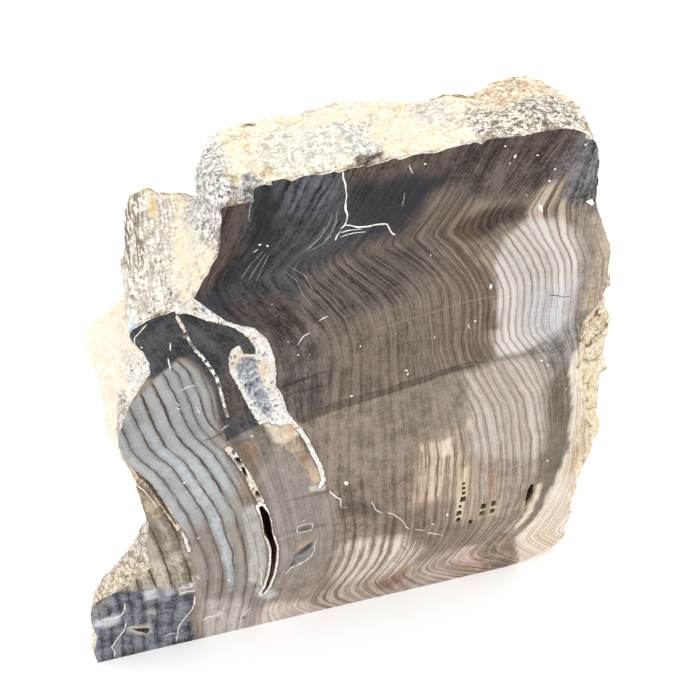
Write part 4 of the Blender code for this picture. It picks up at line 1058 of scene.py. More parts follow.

# Tones of the broken sides: centre and reach in mm, light and shade colour, then in percent the stains,
# the pinholes, the dark striae and the cracks with their painted shade. The base tone lies under all of
# them.
rindBase = ((100, 98, 91), (92, 86, 74), (30, 25, 8, 30))
rindTones = [
    ((-60, 40, 90), (60, 18, 90), (97, 93, 86), (80, 74, 66), (40, 30, 15, 40)),
    ((30, 48, 60), (90, 20, 90), (96, 91, 83), (76, 70, 62), (45, 30, 15, 40)),
    ((-5, 9, 149), (11, 10, 6), (99, 98, 93), (79, 77, 72), (20, 40, 10, 10)),
    ((7.5, 9, 149), (5, 9, 6), (98, 97, 94), (74, 73, 71), (10, 50, 20, 10)),
    ((16, 8, 149), (7, 7, 6), (100, 98, 91), (93, 86, 74), (60, 30, 10, 10)),
    ((24, 16, 149), (4, 5, 6), (98, 95, 90), (80, 77, 72), (20, 50, 10, 10)),
    ((42, 7, 151), (13, 10, 8), (100, 98, 92), (52, 49, 46), (15, 90, 25, 20)),
    ((46, 22, 151), (11, 7, 9), (100, 95, 87), (78, 67, 55), (40, 80, 10, 30)),
    ((31, 22.5, 151), (6, 1.3, 6), (84, 72, 54), (42, 30, 20), (50, 80, 40, 30)),
    ((-13.6, 22.6, 149), (1.6, 1.2, 5), (70, 58, 40), (38, 28, 18), (20, 60, 30, 0)),
    ((6.3, 1.4, 149), (3.2, 1.4, 4), (56, 49, 45), (26, 22, 21), (0, 60, 20, 0)),
    ((-17.6, 1.4, 145), (4.6, 1.6, 2.4), (86, 85, 84), (44, 43, 44), (0, 50, 30, 20)),
    ((-20.6, 3.4, 148), (1.5, 1.6, 4), (90, 84, 73), (70, 62, 50), (30, 30, 20, 0)),
    ((-17.2, 3.4, 148), (1.4, 1.5, 4), (74, 73, 72), (50, 49, 49), (0, 30, 20, 0)),
    ((-13.6, 3.2, 148), (1.4, 1.4, 4), (90, 84, 73), (70, 62, 50), (30, 30, 20, 0)),
    ((-25, 12, 140), (5, 16, 14), (100, 99, 97), (66, 64, 62), (10, 100, 10, 40)),
    ((-41, 18, 124), (7, 18, 14), (100, 98, 92), (76, 72, 66), (10, 40, 85, 0)),
    ((-35, 18, 124), (4, 18, 14), (100, 99, 95), (84, 80, 75), (10, 60, 30, 10)),
    ((-36, 6, 121), (10, 7, 6), (100, 99, 95), (82, 78, 73), (10, 80, 30, 0)),
    ((-29, 10, 126), (5, 12, 8), (100, 98, 92), (94, 88, 78), (30, 40, 5, 20)),
    ((-26, 19, 131), (4, 6, 7), (95, 94, 91), (70, 68, 65), (10, 60, 10, 20)),
    ((-36, 25, 130), (1.1, 3.4, 5), (97, 90, 76), (88, 77, 60), (30, 20, 0, 0)),
    # These four are the walls of the slot and of the hollows: partly their own brown, partly painted shade
    # deep in them.
    ((-21, 6, 36), (5, 14, 26), (56, 40, 29), (26, 17, 11), (40, 50, 20, 0)),
    ((40, 1.6, 37), (9, 2.6, 14), (62, 48, 34), (30, 21, 14), (30, 50, 10, 0)),
    ((-59, 1.6, 11.5), (4, 2.4, 3), (50, 44, 40), (20, 17, 15), (20, 50, 10, 0)),
    ((-25.8, 2, 71), (2.5, 3, 6), (50, 40, 32), (18, 13, 10), (20, 50, 10, 0)),
    ((-33, 30, 133), (9, 2.6, 5), (84, 75, 54), (58, 48, 32), (50, 50, 30, 20)),
    ((-58, 18, 88), (15, 22, 32), (100, 99, 95), (98, 92, 83), (30, 12, 3, 5)),
    ((-45, 1.5, 113), (3.5, 3, 6), (96, 99, 100), (78, 85, 90), (0, 15, 0, 0)),
    ((-45.5, 1, 104), (4.5, 6, 4.5), (100, 99, 97), (86, 83, 79), (10, 100, 0, 0)),
    ((-51, 1, 93), (3, 5, 7), (98, 96, 93), (70, 66, 62), (20, 80, 20, 20)),
    ((-50, 3, 68), (4, 5, 11), (92, 84, 70), (62, 53, 41), (30, 40, 30, 30)),
    ((-54, 3, 50), (6, 10, 9), (96, 93, 88), (66, 62, 56), (20, 70, 20, 30)),
    ((-64, 4, 34), (12, 12, 8), (97, 93, 86), (66, 61, 54), (30, 70, 20, 30)),
    ((64, 4, 93), (9, 12, 12), (100, 95, 85), (79, 69, 56), (40, 50, 20, 100)),
    # Painted shadow: a dark strip along the edge of the face, in the gap beside the broken facets.
    ((60.4, 0.3, 92), (1.1, 1.4, 9), (42, 36, 32), (22, 18, 16), (10, 30, 0, 0)),
    ((65, 3, 112), (6, 8, 9), (96, 91, 82), (64, 55, 45), (40, 60, 20, 60)),
    ((61, 3, 126), (6, 8, 8), (88, 80, 68), (54, 47, 39), (40, 60, 20, 40)),
    ((57, 5, 140), (5, 8, 9), (92, 88, 82), (46, 41, 38), (20, 70, 20, 30)),
    ((-47.4, 3.5, 66), (2.2, 6, 12), (97, 93, 86), (68, 60, 50), (0, 80, 10, 0)),
    ((72, 4, 40), (9, 10, 45), (100, 96, 87), (90, 80, 64), (40, 30, 15, 60)),
    # The wall of the pit: partly its own brown, partly painted shade in the hole.
    ((57.2, 2.6, 35), (2.4, 2.6, 7), (46, 38, 30), (20, 15, 11), (20, 50, 10, 0)),
]
# Chips along the upper lip: where the noise starts and ends to show them, light and shade.
lipChips = [(0.1, 0.5, (100, 98, 94), (86, 82, 76)), (-0.35, -0.6, (66, 56, 44), (34, 27, 22))]
lipStrength = 0.7


def markRind(item):
    x, y, z = chartPoints(item)
    layers = light, shade, feel = [np.tile(np.array(part, float), (len(x), 1)) for part in rindBase]
    stray = 0.25 * softNoise(x / 3 + y / 5, z / 3 - y / 4, 41)
    stray += 0.15 * softNoise(x / 1.2, z / 1.3 + y / 1.1, 42)
    for centre, reach, *tones in rindTones:
        paintOver(layers, ease(awayFrom((x, y, z), centre, reach, 4) + stray, 1.15, 0.75), tones)
    lip = ease(y, 1.3, 0.8) * ease(z, 100, 120)
    uneven = softNoise(x / 2.4, z / 2.4, 71) + 0.4 * softNoise(x / 0.9, z / 0.9, 72)
    for start, end, *tones in lipChips:
        paintOver(layers, lip * ease(uneven, start, end) * lipStrength, tones)
    addAttribute(item, "rindLight", rindPigment(light))
    addAttribute(item, "rindShade", rindPigment(shade))
    addAttribute(item, "rindFeel", feel[:, :3] / 100)
    addAttribute(item, "rindCracks", feel[:, 3] / 100)


markRind(stone)
print("tones of the broken sides marked")


# Parts that the materials are made of.
def newGroup(name, inputs, outputs):
    # A shader node group: its inputs with their values, its outputs with their kinds.
    tree = bpy.data.node_groups.new(name, "ShaderNodeTree")
    for label, value in inputs.items():
        isColour = isinstance(value, tuple)
        kind = "NodeSocketColor" if isColour else "NodeSocketFloat"
        socket = tree.interface.new_socket(label, in_out="INPUT", socket_type=kind)
        socket.default_value = (*value, 1) if isColour else value
    for label, kind in outputs.items():
        tree.interface.new_socket(label, in_out="OUTPUT", socket_type=kind)
    return tree, tree.nodes.new("NodeGroupInput").outputs, tree.nodes.new("NodeGroupOutput").inputs


def join(tree, source, target):
    # Links one socket to another, or sets it to a number or a colour.
    if hasattr(source, "links"):
        tree.links.new(source, target)
    elif isinstance(source, tuple) and len(source) == 3 and target.type == "RGBA":
        target.default_value = (*source, 1)
    else:
        target.default_value = source


def addNode(tree, kind, *values, **settings):
    # A node with its settings, its first sockets linked or set in order.
    node = tree.nodes.new("ShaderNode" + kind)
    for name, value in settings.items():
        setattr(node, name, value)
    for value, socket in zip(values, node.inputs):
        join(tree, value, socket)
    return node


def calc(tree, operation, *values):
    return addNode(tree, "Math", *values, operation=operation).outputs[0]


def times(tree, first, *others):
    for other in others:
        first = calc(tree, "MULTIPLY", first, other)
    return first


def plus(tree, first, second):
    return calc(tree, "ADD", first, second)


def minus(tree, first, second):
    return calc(tree, "SUBTRACT", first, second)


def timesPlus(tree, first, second, third):
    return calc(tree, "MULTIPLY_ADD", first, second, third)


def nearest(tree, value):
    # The nearest whole number, and how far away it is.
    number = calc(tree, "ROUND", value)
    return number, calc(tree, "ABSOLUTE", minus(tree, value, number))


def ramp(tree, value, start, end, low=0.0, high=1.0):
    node = addNode(tree, "MapRange", interpolation_type="SMOOTHSTEP")
    sockets = {"Value": value, "From Min": start, "From Max": end, "To Min": low, "To Max": high}
    for name, source in sockets.items():
        join(tree, source, node.inputs[name])
    return node.outputs["Result"]


def stretched(tree, parts, scales):
    # A place whose three parts are each drawn out or packed by a scale.
    drawn = [times(tree, part, scale) for part, scale in zip(parts, scales)]
    return addNode(tree, "CombineXYZ", *drawn).outputs[0]


def scaled(tree, place, factor):
    node = addNode(tree, "VectorMath", place, operation="SCALE")
    join(tree, factor, node.inputs["Scale"])
    return node.outputs[0]


def noiseOf(tree, place, scale, detail=2.0, roughness=0.5, output="Fac"):
    node = addNode(tree, "TexNoise", place)
    for name, value in {"Scale": scale, "Detail": detail, "Roughness": roughness}.items():
        node.inputs[name].default_value = value
    return node.outputs[output]


def mottle(tree, place, noise, levels):
    # Noise by its scale, detail and roughness, spread over levels as by a ramp.
    return ramp(tree, noiseOf(tree, place, *noise), *levels)


def cellsOf(tree, place, scale, feature="F1"):
    node = addNode(tree, "TexVoronoi", place, feature=feature)
    node.inputs["Scale"].default_value = scale
    return node.outputs


def blend(tree, share, first, second, mode="MIX"):
    node = addNode(tree, "Mix", data_type="RGBA", blend_type=mode)
    for source, socket in ((share, "Factor"), (first, 6), (second, 7)):  # 6 and 7 are the two colours
        join(tree, source, node.inputs[socket])
    return node.outputs[2]


def readAttribute(tree, name, output="Fac"):
    return addNode(tree, "Attribute", attribute_name=name).outputs[output]


def partsOf(tree, colour):
    return addNode(tree, "SeparateColor", colour).outputs


def placeInMm(tree):
    # Object coordinates in millimetres, whole and as x, y, z.
    spot = scaled(tree, addNode(tree, "TexCoord").outputs["Object"], 1 / mm)
    return spot, list(addNode(tree, "SeparateXYZ", spot).outputs)


def randomOf(tree, number):
    node = addNode(tree, "TexWhiteNoise", noise_dimensions="1D")
    join(tree, number, node.inputs["W"])
    return partsOf(tree, node.outputs["Color"])


# Each noise has its scale, detail and roughness, then the levels that it is spread over: from start and
# end to low and high. Widths are shares of the space between two rings.
ringLook = {
    "waves": (0.16, (0.35, 3)), "shivers": (0.07, (1.6, 2)),
    "halfWidth": 0.02, "halfSpread": 0.045, "edge": 0.07, "faintest": 0.6, "faintSpread": 0.45,
    "alongLine": (7.3, 0.1, 0.16), "uneven": ((1, 3, 0.6), (0.3, 0.55, 0.4, 1)),
    "finer": (3.4, 0.37), "finerSeed": 91.5, "finerEdge": (0.1, 0.32, 1, 0),
    "finerChance": (0.35, 0.9, 0, 0.75), "wideBands": 0.35,
    "alongStreak": (3.2, 0.04, 0.05), "streaks": ((1, 6, 0.75), (0.33, 0.67, -0.52, 0.52)),
    "alongGrain": (9, 0.2, 0.8), "grain": ((1, 5, 0.75), (0.35, 0.65, -0.55, 0.55)),
    "bricks": {"shift": 9.0, "perMm": 0.42, "sway": 1.5, "swayNoise": (0.5, 1), "seeds": (3.17, 17.3),
               "depth": 0.45},
    "blotches": ((0.24, 6, 0.72), (0.34, 0.66, -0.5, 0.5)),
    "specks": ((1.9, 3, 0.7), (0.36, 0.64, -0.3, 0.3)),
    "middle": 0.54, "grainShare": 0.75, "blotchShare": 0.85, "glow": (0.05, 0.45, -0.18, 0.18),
}


def growthRings():
    # Dark lines at whole ring numbers, finer lines between them, streaks, grain and blotches.
    tree, given, out = newGroup(
        "growthRings", {"Ring": 0, "Lines": 1, "Streaks": 1, "Grain": 1, "Finer": 0.3, "Blotches": 0.3},
        {"Pale": "NodeSocketFloat", "Line": "NodeSocketFloat"})
    look = ringLook
    spot, (x, y, z) = placeInMm(tree)
    ring = given["Ring"]
    for reach, noise in (look["waves"], look["shivers"]):
        ring = timesPlus(tree, noiseOf(tree, spot, *noise), reach, ring)
    number, away = nearest(tree, ring)
    chance = randomOf(tree, number)
    half = timesPlus(tree, chance[0], look["halfSpread"], look["halfWidth"])
    line = ramp(tree, away, half, plus(tree, half, look["edge"]), 1, 0)
    strength = timesPlus(tree, chance[1], look["faintSpread"], look["faintest"])
    uneven = mottle(tree, stretched(tree, (number, y, z), look["alongLine"]), *look["uneven"])
    join(tree, times(tree, line, strength, uneven, given["Lines"]), out["Line"])

    finerNumber, finerAway = nearest(tree, timesPlus(tree, ring, *look["finer"]))
    finerChance = randomOf(tree, plus(tree, finerNumber, look["finerSeed"]))
    thin = times(tree, ramp(tree, finerAway, *look["finerEdge"]),
                 ramp(tree, finerChance[0], *look["finerChance"]), given["Finer"])
    band = times(tree, minus(tree, finerChance[1], 0.5), given["Finer"])
    wideChance = randomOf(tree, calc(tree, "FLOOR", ring))[2]
    wideBand = times(tree, minus(tree, wideChance, 0.5), look["wideBands"])

    streak = mottle(tree, stretched(tree, (ring, y, z), look["alongStreak"]), *look["streaks"])
    grain = mottle(tree, stretched(tree, (ring, y, z), look["alongGrain"]), *look["grain"])
    bricks = look["bricks"]
    course = timesPlus(tree, finerChance[2], bricks["shift"], times(tree, z, bricks["perMm"]))
    sway = times(tree, noiseOf(tree, spot, *bricks["swayNoise"]), bricks["sway"])
    course = calc(tree, "FLOOR", plus(tree, course, sway))
    courseSeed, lineSeed = bricks["seeds"]
    brick = randomOf(tree, timesPlus(tree, course, courseSeed, times(tree, finerNumber, lineSeed)))[0]
    grain = timesPlus(tree, minus(tree, brick, 0.5), bricks["depth"], grain)
    blotch = plus(tree, mottle(tree, spot, *look["blotches"]), mottle(tree, spot, *look["specks"]))

    pale = timesPlus(tree, streak, given["Streaks"], look["middle"])
    pale = timesPlus(tree, times(tree, grain, given["Grain"]), look["grainShare"], pale)
    pale = timesPlus(tree, times(tree, blotch, given["Blotches"]), look["blotchShare"], pale)
    pale = plus(tree, minus(tree, pale, thin), plus(tree, band, wideBand))
    glow = times(tree, ramp(tree, away, *look["glow"]), given["Lines"])
    join(tree, plus(tree, pale, glow), out["Pale"])
    return tree


druseLook = {
    "grit": (1.1, 5, 0.75), "cells": 0.16, "clumps": (0.55, 3, 0.6), "clumping": 0.45,
    "light": (0.44, 0.56), "patches": (0.16, 5, 0.68), "ragged": 0.1, "stained": (0.5, 0.72),
    "holeSize": (0.2, 0.32, 1, 0), "holed": ((0.5, 2), (0.5, 0.56)), "hole": (0.07, 0.05, 0.035),
}


def druse():
    # Tiny crystals and crumbs between two colours, stained in places, with dark pinholes.
    tree, given, out = newGroup(
        "druse", {"Size": 0.8, "Stain": 0.4, "Holes": 0.5, "Light": (0.9, 0.9, 0.87),
                  "Shade": (0.6, 0.55, 0.5), "Rust": (0.75, 0.52, 0.3)},
        {"Colour": "NodeSocketColor", "Height": "NodeSocketFloat"})
    look = druseLook
    spot = placeInMm(tree)[0]
    closer = scaled(tree, spot, calc(tree, "DIVIDE", 1, given["Size"]))
    cells = cellsOf(tree, closer, 1.0)
    tone = partsOf(tree, cells["Color"])
    mixed = timesPlus(tree, minus(tree, tone[0], 0.5), look["cells"], noiseOf(tree, closer, *look["grit"]))
    clump = minus(tree, noiseOf(tree, spot, *look["clumps"]), 0.5)
    mixed = timesPlus(tree, clump, look["clumping"], mixed)
    colour = blend(tree, ramp(tree, mixed, *look["light"]), given["Shade"], given["Light"])
    stain = timesPlus(tree, tone[1], look["ragged"], noiseOf(tree, spot, *look["patches"]))
    stain = times(tree, ramp(tree, stain, *look["stained"]), given["Stain"])
    colour = blend(tree, stain, colour, given["Rust"])
    hole = times(tree, ramp(tree, cells["Distance"], *look["holeSize"]),
                 mottle(tree, closer, *look["holed"]), given["Holes"])
    join(tree, blend(tree, hole, colour, look["hole"]), out["Colour"])
    join(tree, minus(tree, mixed, hole), out["Height"])
    return tree


ringGroup = growthRings()
druseGroup = druse()


def useGroup(tree, group, **values):
    node = addNode(tree, "Group", node_tree=group)
    for name, value in values.items():
        join(tree, value, node.inputs[name])
    return node.outputs


def bumpOf(tree, height, distance):
    # Relief in the shading, its distance in mm.
    node = addNode(tree, "Bump")
    for name, value in {"Strength": 1.0, "Distance": distance * mm, "Height": height}.items():
        join(tree, value, node.inputs[name])
    return node.outputs[0]


def finish(material, colour, roughness, specular=None, normal=None):
    # Gives a material's shader its colour and finish: links, or values on the shader's own sockets.
    tree = material.node_tree
    sockets = tree.nodes["Principled BSDF"].inputs
    values = {"Base Color": colour, "Roughness": roughness, "Specular IOR Level": specular,
              "Normal": normal}
    for name, value in values.items():
        if value is not None:
            join(tree, value, sockets[name])


# The two line colours tint the dark colour of an area, the wash warms the face in places.
faceLook = {
    "coolLine": (0.28, 0.185, 0.15), "warmLine": (0.66, 0.43, 0.31),
    "wash": (0.96, 0.89, 0.83), "washed": ((0.12, 4, 0.6), (0.3, 0.7, 0, 0.4)),
    "edgeNoise": (1.2, 3, 0.6), "edgeReach": 0.7, "crust": (0.28, 0.42), "seamWidth": (-0.25, 0.3, 0, 0.5),
    # pitShade is the colour of painted shade where the face lies sunk behind its plane.
    "seam": (0.03, 0.025, 0.025), "pitShade": (0.05, 0.035, 0.025),
    "crystals": {"Size": 0.6, "Stain": 0.8, "Holes": 1.0, "Light": (0.98, 0.98, 0.97),
                 "Shade": (0.76, 0.72, 0.66), "Rust": (0.84, 0.62, 0.38)},
    "bed": {"Size": 0.7, "Stain": 0.0, "Holes": 0.0, "Light": (0.8, 0.83, 0.86),
            "Shade": (0.36, 0.4, 0.44)},
    "bedNoise": (0.9, 3, 0.6), "bedReach": 1.2, "bedEdge": (0.45, 0.65),
    "roughness": (0, 1, 0.16, 0.75), "bump": 0.35, "specular": 0.2,
}


def finishFace(material):
    tree = material.node_tree
    look = faceLook
    traits = partsOf(tree, readAttribute(tree, "traits", "Color"))
    more = partsOf(tree, readAttribute(tree, "moreTraits", "Color"))
    bands = useGroup(tree, ringGroup, Ring=readAttribute(tree, "ring"), Lines=traits[0], Streaks=traits[1],
                     Grain=traits[2], Finer=more[0], Blotches=more[1])
    spot = placeInMm(tree)[0]
    dark = readAttribute(tree, "darkColour", "Color")
    colour = blend(tree, bands["Pale"], dark, readAttribute(tree, "paleColour", "Color"))
    tint = blend(tree, more[2], look["coolLine"], look["warmLine"])
    colour = blend(tree, bands["Line"], colour, blend(tree, 1.0, dark, tint, "MULTIPLY"))
    colour = blend(tree, mottle(tree, spot, *look["washed"]), colour, look["wash"], "MULTIPLY")
    ragged = timesPlus(tree, noiseOf(tree, spot, *look["edgeNoise"]), look["edgeReach"],
                       readAttribute(tree, "crust"))
    crust = ramp(tree, ragged, *look["crust"])
    colour = blend(tree, ramp(tree, ragged, *look["seamWidth"]), colour, look["seam"])
    crystals = useGroup(tree, druseGroup, **look["crystals"])
    colour = blend(tree, crust, colour, crystals["Colour"])
    bed = useGroup(tree, druseGroup, **look["bed"])
    bedMask = timesPlus(tree, noiseOf(tree, spot, *look["bedNoise"]), look["bedReach"],
                        readAttribute(tree, "bed"))
    colour = blend(tree, ramp(tree, bedMask, *look["bedEdge"]), colour, bed["Colour"])
    # Painted shade where the face lies sunk behind its plane, in its pits and hollows.
    colour = blend(tree, readAttribute(tree, "pits"), colour, look["pitShade"])
    height = times(tree, plus(tree, crystals["Height"], bed["Height"]), crust)
    finish(material, colour, ramp(tree, crust, *look["roughness"]), look["specular"],
           bumpOf(tree, height, look["bump"]))


def crackShadeLines(tree, spot):
    # Ragged cracks between blocks of some 7 mm, where painted shade darkens the crevices.
    stray = noiseOf(tree, spot, 0.35, 5, output="Color")
    moved = addNode(tree, "VectorMath", stray, (5, 5, 5), spot, operation="MULTIPLY_ADD").outputs[0]
    cells = cellsOf(tree, moved, 0.15, "DISTANCE_TO_EDGE")
    broken = mottle(tree, spot, (0.2, 3), (0.4, 0.55))
    return times(tree, ramp(tree, cells["Distance"], 0.01, 0.05, 1, 0), broken)


rindLook = {"grain": 0.8, "rust": (0.93, 0.75, 0.48), "alongStriae": (2.1, 0.14, 0.5),
            "striae": ((1, 3, 0.6), (0.42, 0.5, 1, 0)), "striaeColour": (0.16, 0.13, 0.11),
            "crackShade": (0.13, 0.09, 0.06), "roughness": 0.85, "bump": 0.4, "specular": 0.25}


def finishRind(material):
    tree = material.node_tree
    look = rindLook
    feel = partsOf(tree, readAttribute(tree, "rindFeel", "Color"))
    crumbs = useGroup(tree, druseGroup, Size=look["grain"], Stain=feel[0], Holes=feel[1],
                      Light=readAttribute(tree, "rindLight", "Color"),
                      Shade=readAttribute(tree, "rindShade", "Color"), Rust=look["rust"])
    spot, parts = placeInMm(tree)
    striae = mottle(tree, stretched(tree, parts, look["alongStriae"]), *look["striae"])
    striae = times(tree, striae, feel[2])
    # The dark cracks: partly brown crack lines, partly painted shade in the crevices between the blocks.
    cracksAndShade = times(tree, crackShadeLines(tree, spot), readAttribute(tree, "rindCracks"))
    colour = blend(tree, striae, crumbs["Colour"], look["striaeColour"])
    colour = blend(tree, cracksAndShade, colour, look["crackShade"])
    height = minus(tree, minus(tree, crumbs["Height"], striae), cracksAndShade)
    finish(material, colour, look["roughness"], look["specular"], bumpOf(tree, height, look["bump"]))


baseLook = {"bands": {"Lines": 0.6, "Streaks": 0.7, "Grain": 0.5, "Finer": 0.4, "Blotches": 0.6},
            "line": (0.10, 0.075, 0.06), "alongMarks": (0.05, 2.4, 0), "roughness": 0.6, "bump": 0.08}


def finishBase(material):
    # The sawn base shows the same bands as the face, dull and with faint saw marks.
    tree = material.node_tree
    look = baseLook
    bands = useGroup(tree, ringGroup, Ring=readAttribute(tree, "ring"), **look["bands"])
    colour = blend(tree, bands["Pale"], readAttribute(tree, "darkColour", "Color"),
                   readAttribute(tree, "paleColour", "Color"))
    colour = blend(tree, bands["Line"], colour, look["line"])
    marks = noiseOf(tree, stretched(tree, placeInMm(tree)[1], look["alongMarks"]), 1)
    finish(material, colour, look["roughness"], normal=bumpOf(tree, marks, look["bump"]))


floorMaterial = newMaterial("whitePaper")
floor.data.materials.append(floorMaterial)
finish(floorMaterial, (0.98, 0.98, 0.98), 0.9)
finishFace(faceMaterial)
finishRind(rindMaterial)
finishBase(baseMaterial)
finishRind(hollowMaterial)

# Thin veins in the polished face: width in mm, then the points of each one.
veins = {
    "paleVeins": [
        (0.62, [(0.8, 147.5), (0.9, 145.5), (1.3, 143), (1.4, 139.5), (1.3, 137), (0.9, 136),
         (0.1, 134.9)]), (0.5, [(0.1, 134.9), (-0.8, 133.6), (-1.2, 132.5)]), (0.42, [(0.9, 136),
         (2, 135.5), (4, 134.8), (6, 134.9), (8, 135), (9.8, 134.8), (10.5, 133.4), (11.8, 131.8)]), (0.3,
         [(0, 134.2), (2, 134.5), (4.5, 134.3)]), (0.26, [(0, 133.3), (3, 133.8), (5.4, 133.7)]), (0.3,
         [(-41, 119), (-42.5, 117.5), (-44, 116), (-44.3, 114.2)]), (0.34, [(-18, 132.6), (-17, 133.2)]),
         (0.38, [(-5, 112.7), (-3, 113.5)]), (0.36, [(-10.1, 106.8), (-9.3, 108.2), (-8.2, 109.2),
         (-7, 109.7)]), (0.26, [(-29.3, 84.9), (-28.4, 85.8), (-27.4, 86.3)]), (0.28, [(13.9, 147.5),
         (14.8, 145.5)]), (0.3, [(-37, 99.3), (-35, 100.2), (-33.5, 100.4)]), (0.26, [(-38.4, 96.3),
         (-37.6, 94.9)]), (0.24, [(-38.6, 94.8), (-37.4, 93.8)]), (0.3, [(-34, 94), (-33.6, 92.6),
         (-33.4, 91.4)]), (0.6, [(-38, 109.2), (-38.2, 107.6), (-38.3, 105.8)]), (0.7, [(-37.1, 112.9),
         (-37.1, 111.2)]), (0.3, [(-22.3, 81.6), (-21.9, 80.6)]), (0.5, [(-3.6, 55.4), (-2.9, 54),
         (-2, 52.6), (-0.8, 51.2), (-0.6, 50.3), (-0.5, 47.3)]), (0.28, [(-0.4, 47.2), (0.5, 47),
         (1.5, 46.9)]), (0.42, [(8.1, 47.3), (8.8, 45.5), (9.4, 43.6), (10.2, 42.2), (11.3, 41.5)]), (0.4,
         [(12.9, 40.8), (14.6, 39.8), (15.5, 38.2), (17.3, 36.2), (18.2, 34.5), (18.8, 32.5), (19.8, 31)]),
         (0.34, [(21.5, 30.5), (22.8, 29.8), (24.5, 29)]), (0.34, [(25.9, 27.5), (27.5, 26.4), (29.8, 25),
         (30.6, 24.7)]), (0.4, [(-24.5, 28), (-24, 25), (-24.5, 22), (-24.2, 19.6)]), (0.5, [(-43.2, 22),
         (-44, 18), (-45, 15.5), (-46.5, 13.5), (-48.8, 10.2), (-50, 7.5), (-50.4, 5), (-51.2, 1.8)]),
         (0.42, [(-43.2, 51.3), (-42.3, 46.9), (-42.3, 42.6)]), (0.36, [(-41.6, 31.6), (-41.4, 30.2)]),
         (0.34, [(-8, 35), (-8.6, 30.5), (-9.8, 28), (-12, 26.5), (-15.3, 25.2), (-16.5, 23.7),
         (-17.4, 22.5)]), (0.36, [(-13, 40.3), (-12.9, 42), (-12.6, 43.3), (-10, 43.5), (-8.7, 43.3),
         (-8.6, 41.4), (-9.2, 40.3), (-13, 40.3)]), (0.6, [(-11.4, 44.6), (-10.6, 45.6)]), (0.5,
         [(-63, 16.5), (-64, 14.5), (-65.5, 11.5), (-67.5, 9), (-69, 6), (-68.8, 3), (-69.3, 1)]), (0.55,
         [(-61.8, 26), (-62.5, 23), (-63.5, 20.8), (-66, 20), (-69, 20.8)]), (0.4, [(-31.9, 4),
         (-31.6, 6.4), (-30.6, 7.4), (-29.6, 8.6), (-28.6, 9.8)]), (0.55, [(-42.6, 9.2), (-40.6, 10.4),
         (-38.4, 9.8), (-37, 11.2)]), (0.5, [(-47.2, 24.6), (-45, 25), (-42.8, 24.6)]), (0.4,
         [(-47.2, 27.4), (-45, 26.8), (-42.8, 27)]), (0.34, [(-54.6, 5.8), (-52.4, 6.2), (-50.8, 6)]), (0.3,
         [(-21.7, 147), (-22, 145), (-22.4, 143.6)]), (0.3, [(30.6, 104.8), (31.2, 103)]), (0.34,
         [(-51.6, 74.6), (-50.4, 71.2), (-48.6, 66.4), (-47.6, 62)]),
    ],
    "greyVeins": [
        (0.17, [(-7, 131), (-5.5, 132.5), (-4, 134), (-3, 136.5)]), (0.18, [(-6.5, 131), (-4, 132),
         (-2, 134), (-1, 137), (-0.5, 139.5)]), (0.15, [(-1.6, 139.4), (-2.4, 136.4), (-4.4, 133.6),
         (-7.4, 131.2)]), (0.15, [(-0.4, 137.8), (-1.4, 135), (-3.4, 133)]), (0.24, [(-17.2, 144.2),
         (-17.9, 142.5), (-18.2, 140.8), (-18, 139.6)]), (0.12, [(-16, 132.4), (-18.6, 130), (-21, 126.6)]),
         (0.12, [(-15.4, 132), (-17.6, 129), (-19.4, 126)]), (0.12, [(-14.8, 131.6), (-16.4, 128.6),
         (-17.8, 125.6)]), (0.13, [(-12, 127), (-9.6, 124.4), (-8.4, 120.6), (-6.4, 117)]), (0.13,
         [(-10.6, 127.8), (-7.6, 125), (-6.2, 121.4), (-4.4, 118.4)]),
    ],
    "tanVeins": [
        (0.2, [(30, 91.5), (33, 91.7), (36, 90.8), (41, 90.9), (45, 91.4), (48, 91.2), (54, 91.1),
         (59, 91)]), (0.2, [(6.5, 107.3), (10, 107.9), (15, 108.8), (20, 109.5), (25, 110.6), (30, 111.3),
         (35, 111.5), (39, 111.3)]), (0.4, [(13.3, 141.5), (13.2, 139.8), (13, 138.3)]), (0.3,
         [(-23, 143.5), (-20, 143.7), (-17.5, 143.8)]), (0.34, [(-42.3, 42.6), (-41.9, 38.1), (-41.9, 32.9),
         (-42.2, 28.5)]),
    ],
    "darkVeins": [
        (0.34, [(50.4, 109.2), (53, 108.4), (55.5, 107.8), (56.5, 107.4)]), (0.4, [(49, 110.4),
         (49.3, 110.1)]), (0.4, [(48.3, 116.6), (48.5, 116)]), (0.3, [(-3.5, 97.6), (-3.5, 95.5)]), (0.3,
         [(-47, 25.7), (-45, 26), (-43, 25.7)]), (0.3, [(-11.6, 41.6), (-10.6, 41.8)]), (0.36,
         [(40.2, 138.6), (40.4, 137.2)]), (0.3, [(-43.6, 71.8), (-42.6, 72)]), (0.3, [(-32, 60.4),
         (-30.8, 60.6)]), (0.6, [(18.2, 23.6), (18.8, 22), (18.2, 21.2)]), (0.36, [(17.3, 14.6),
         (17.6, 13.4)]), (0.3, [(-35.4, 86.1), (-34.6, 86.2)]), (0.34, [(-51.8, 81.8), (-50.8, 81.7)]),
    ],
}
veinFinish = {"paleVeins": ((0.93, 0.92, 0.90), (0.62, 0.59, 0.55)),
              "greyVeins": ((0.42, 0.42, 0.43), (0.2, 0.2, 0.2)),
              "tanVeins": ((0.34, 0.27, 0.20), (0.22, 0.17, 0.12)),
              "darkVeins": ((0.07, 0.055, 0.05), (0.02, 0.016, 0.015)),
              "whiteSpecksAndGlints": ((0.94, 0.93, 0.90), (0.74, 0.70, 0.64))}
# How near the points lie, the waves as a share of the width and their length, how far the ends taper,
# the unevenness of the width and its length, and how deep the threads lie and stand proud.
veinBuild = {"every": 0.55, "waves": (0.45, 1.3), "taper": (-0.5, 0.9), "uneven": (0.85, 0.4, 0.9),
             "sunk": 0.5, "proud": 0.05, "smoothBelow": 50}
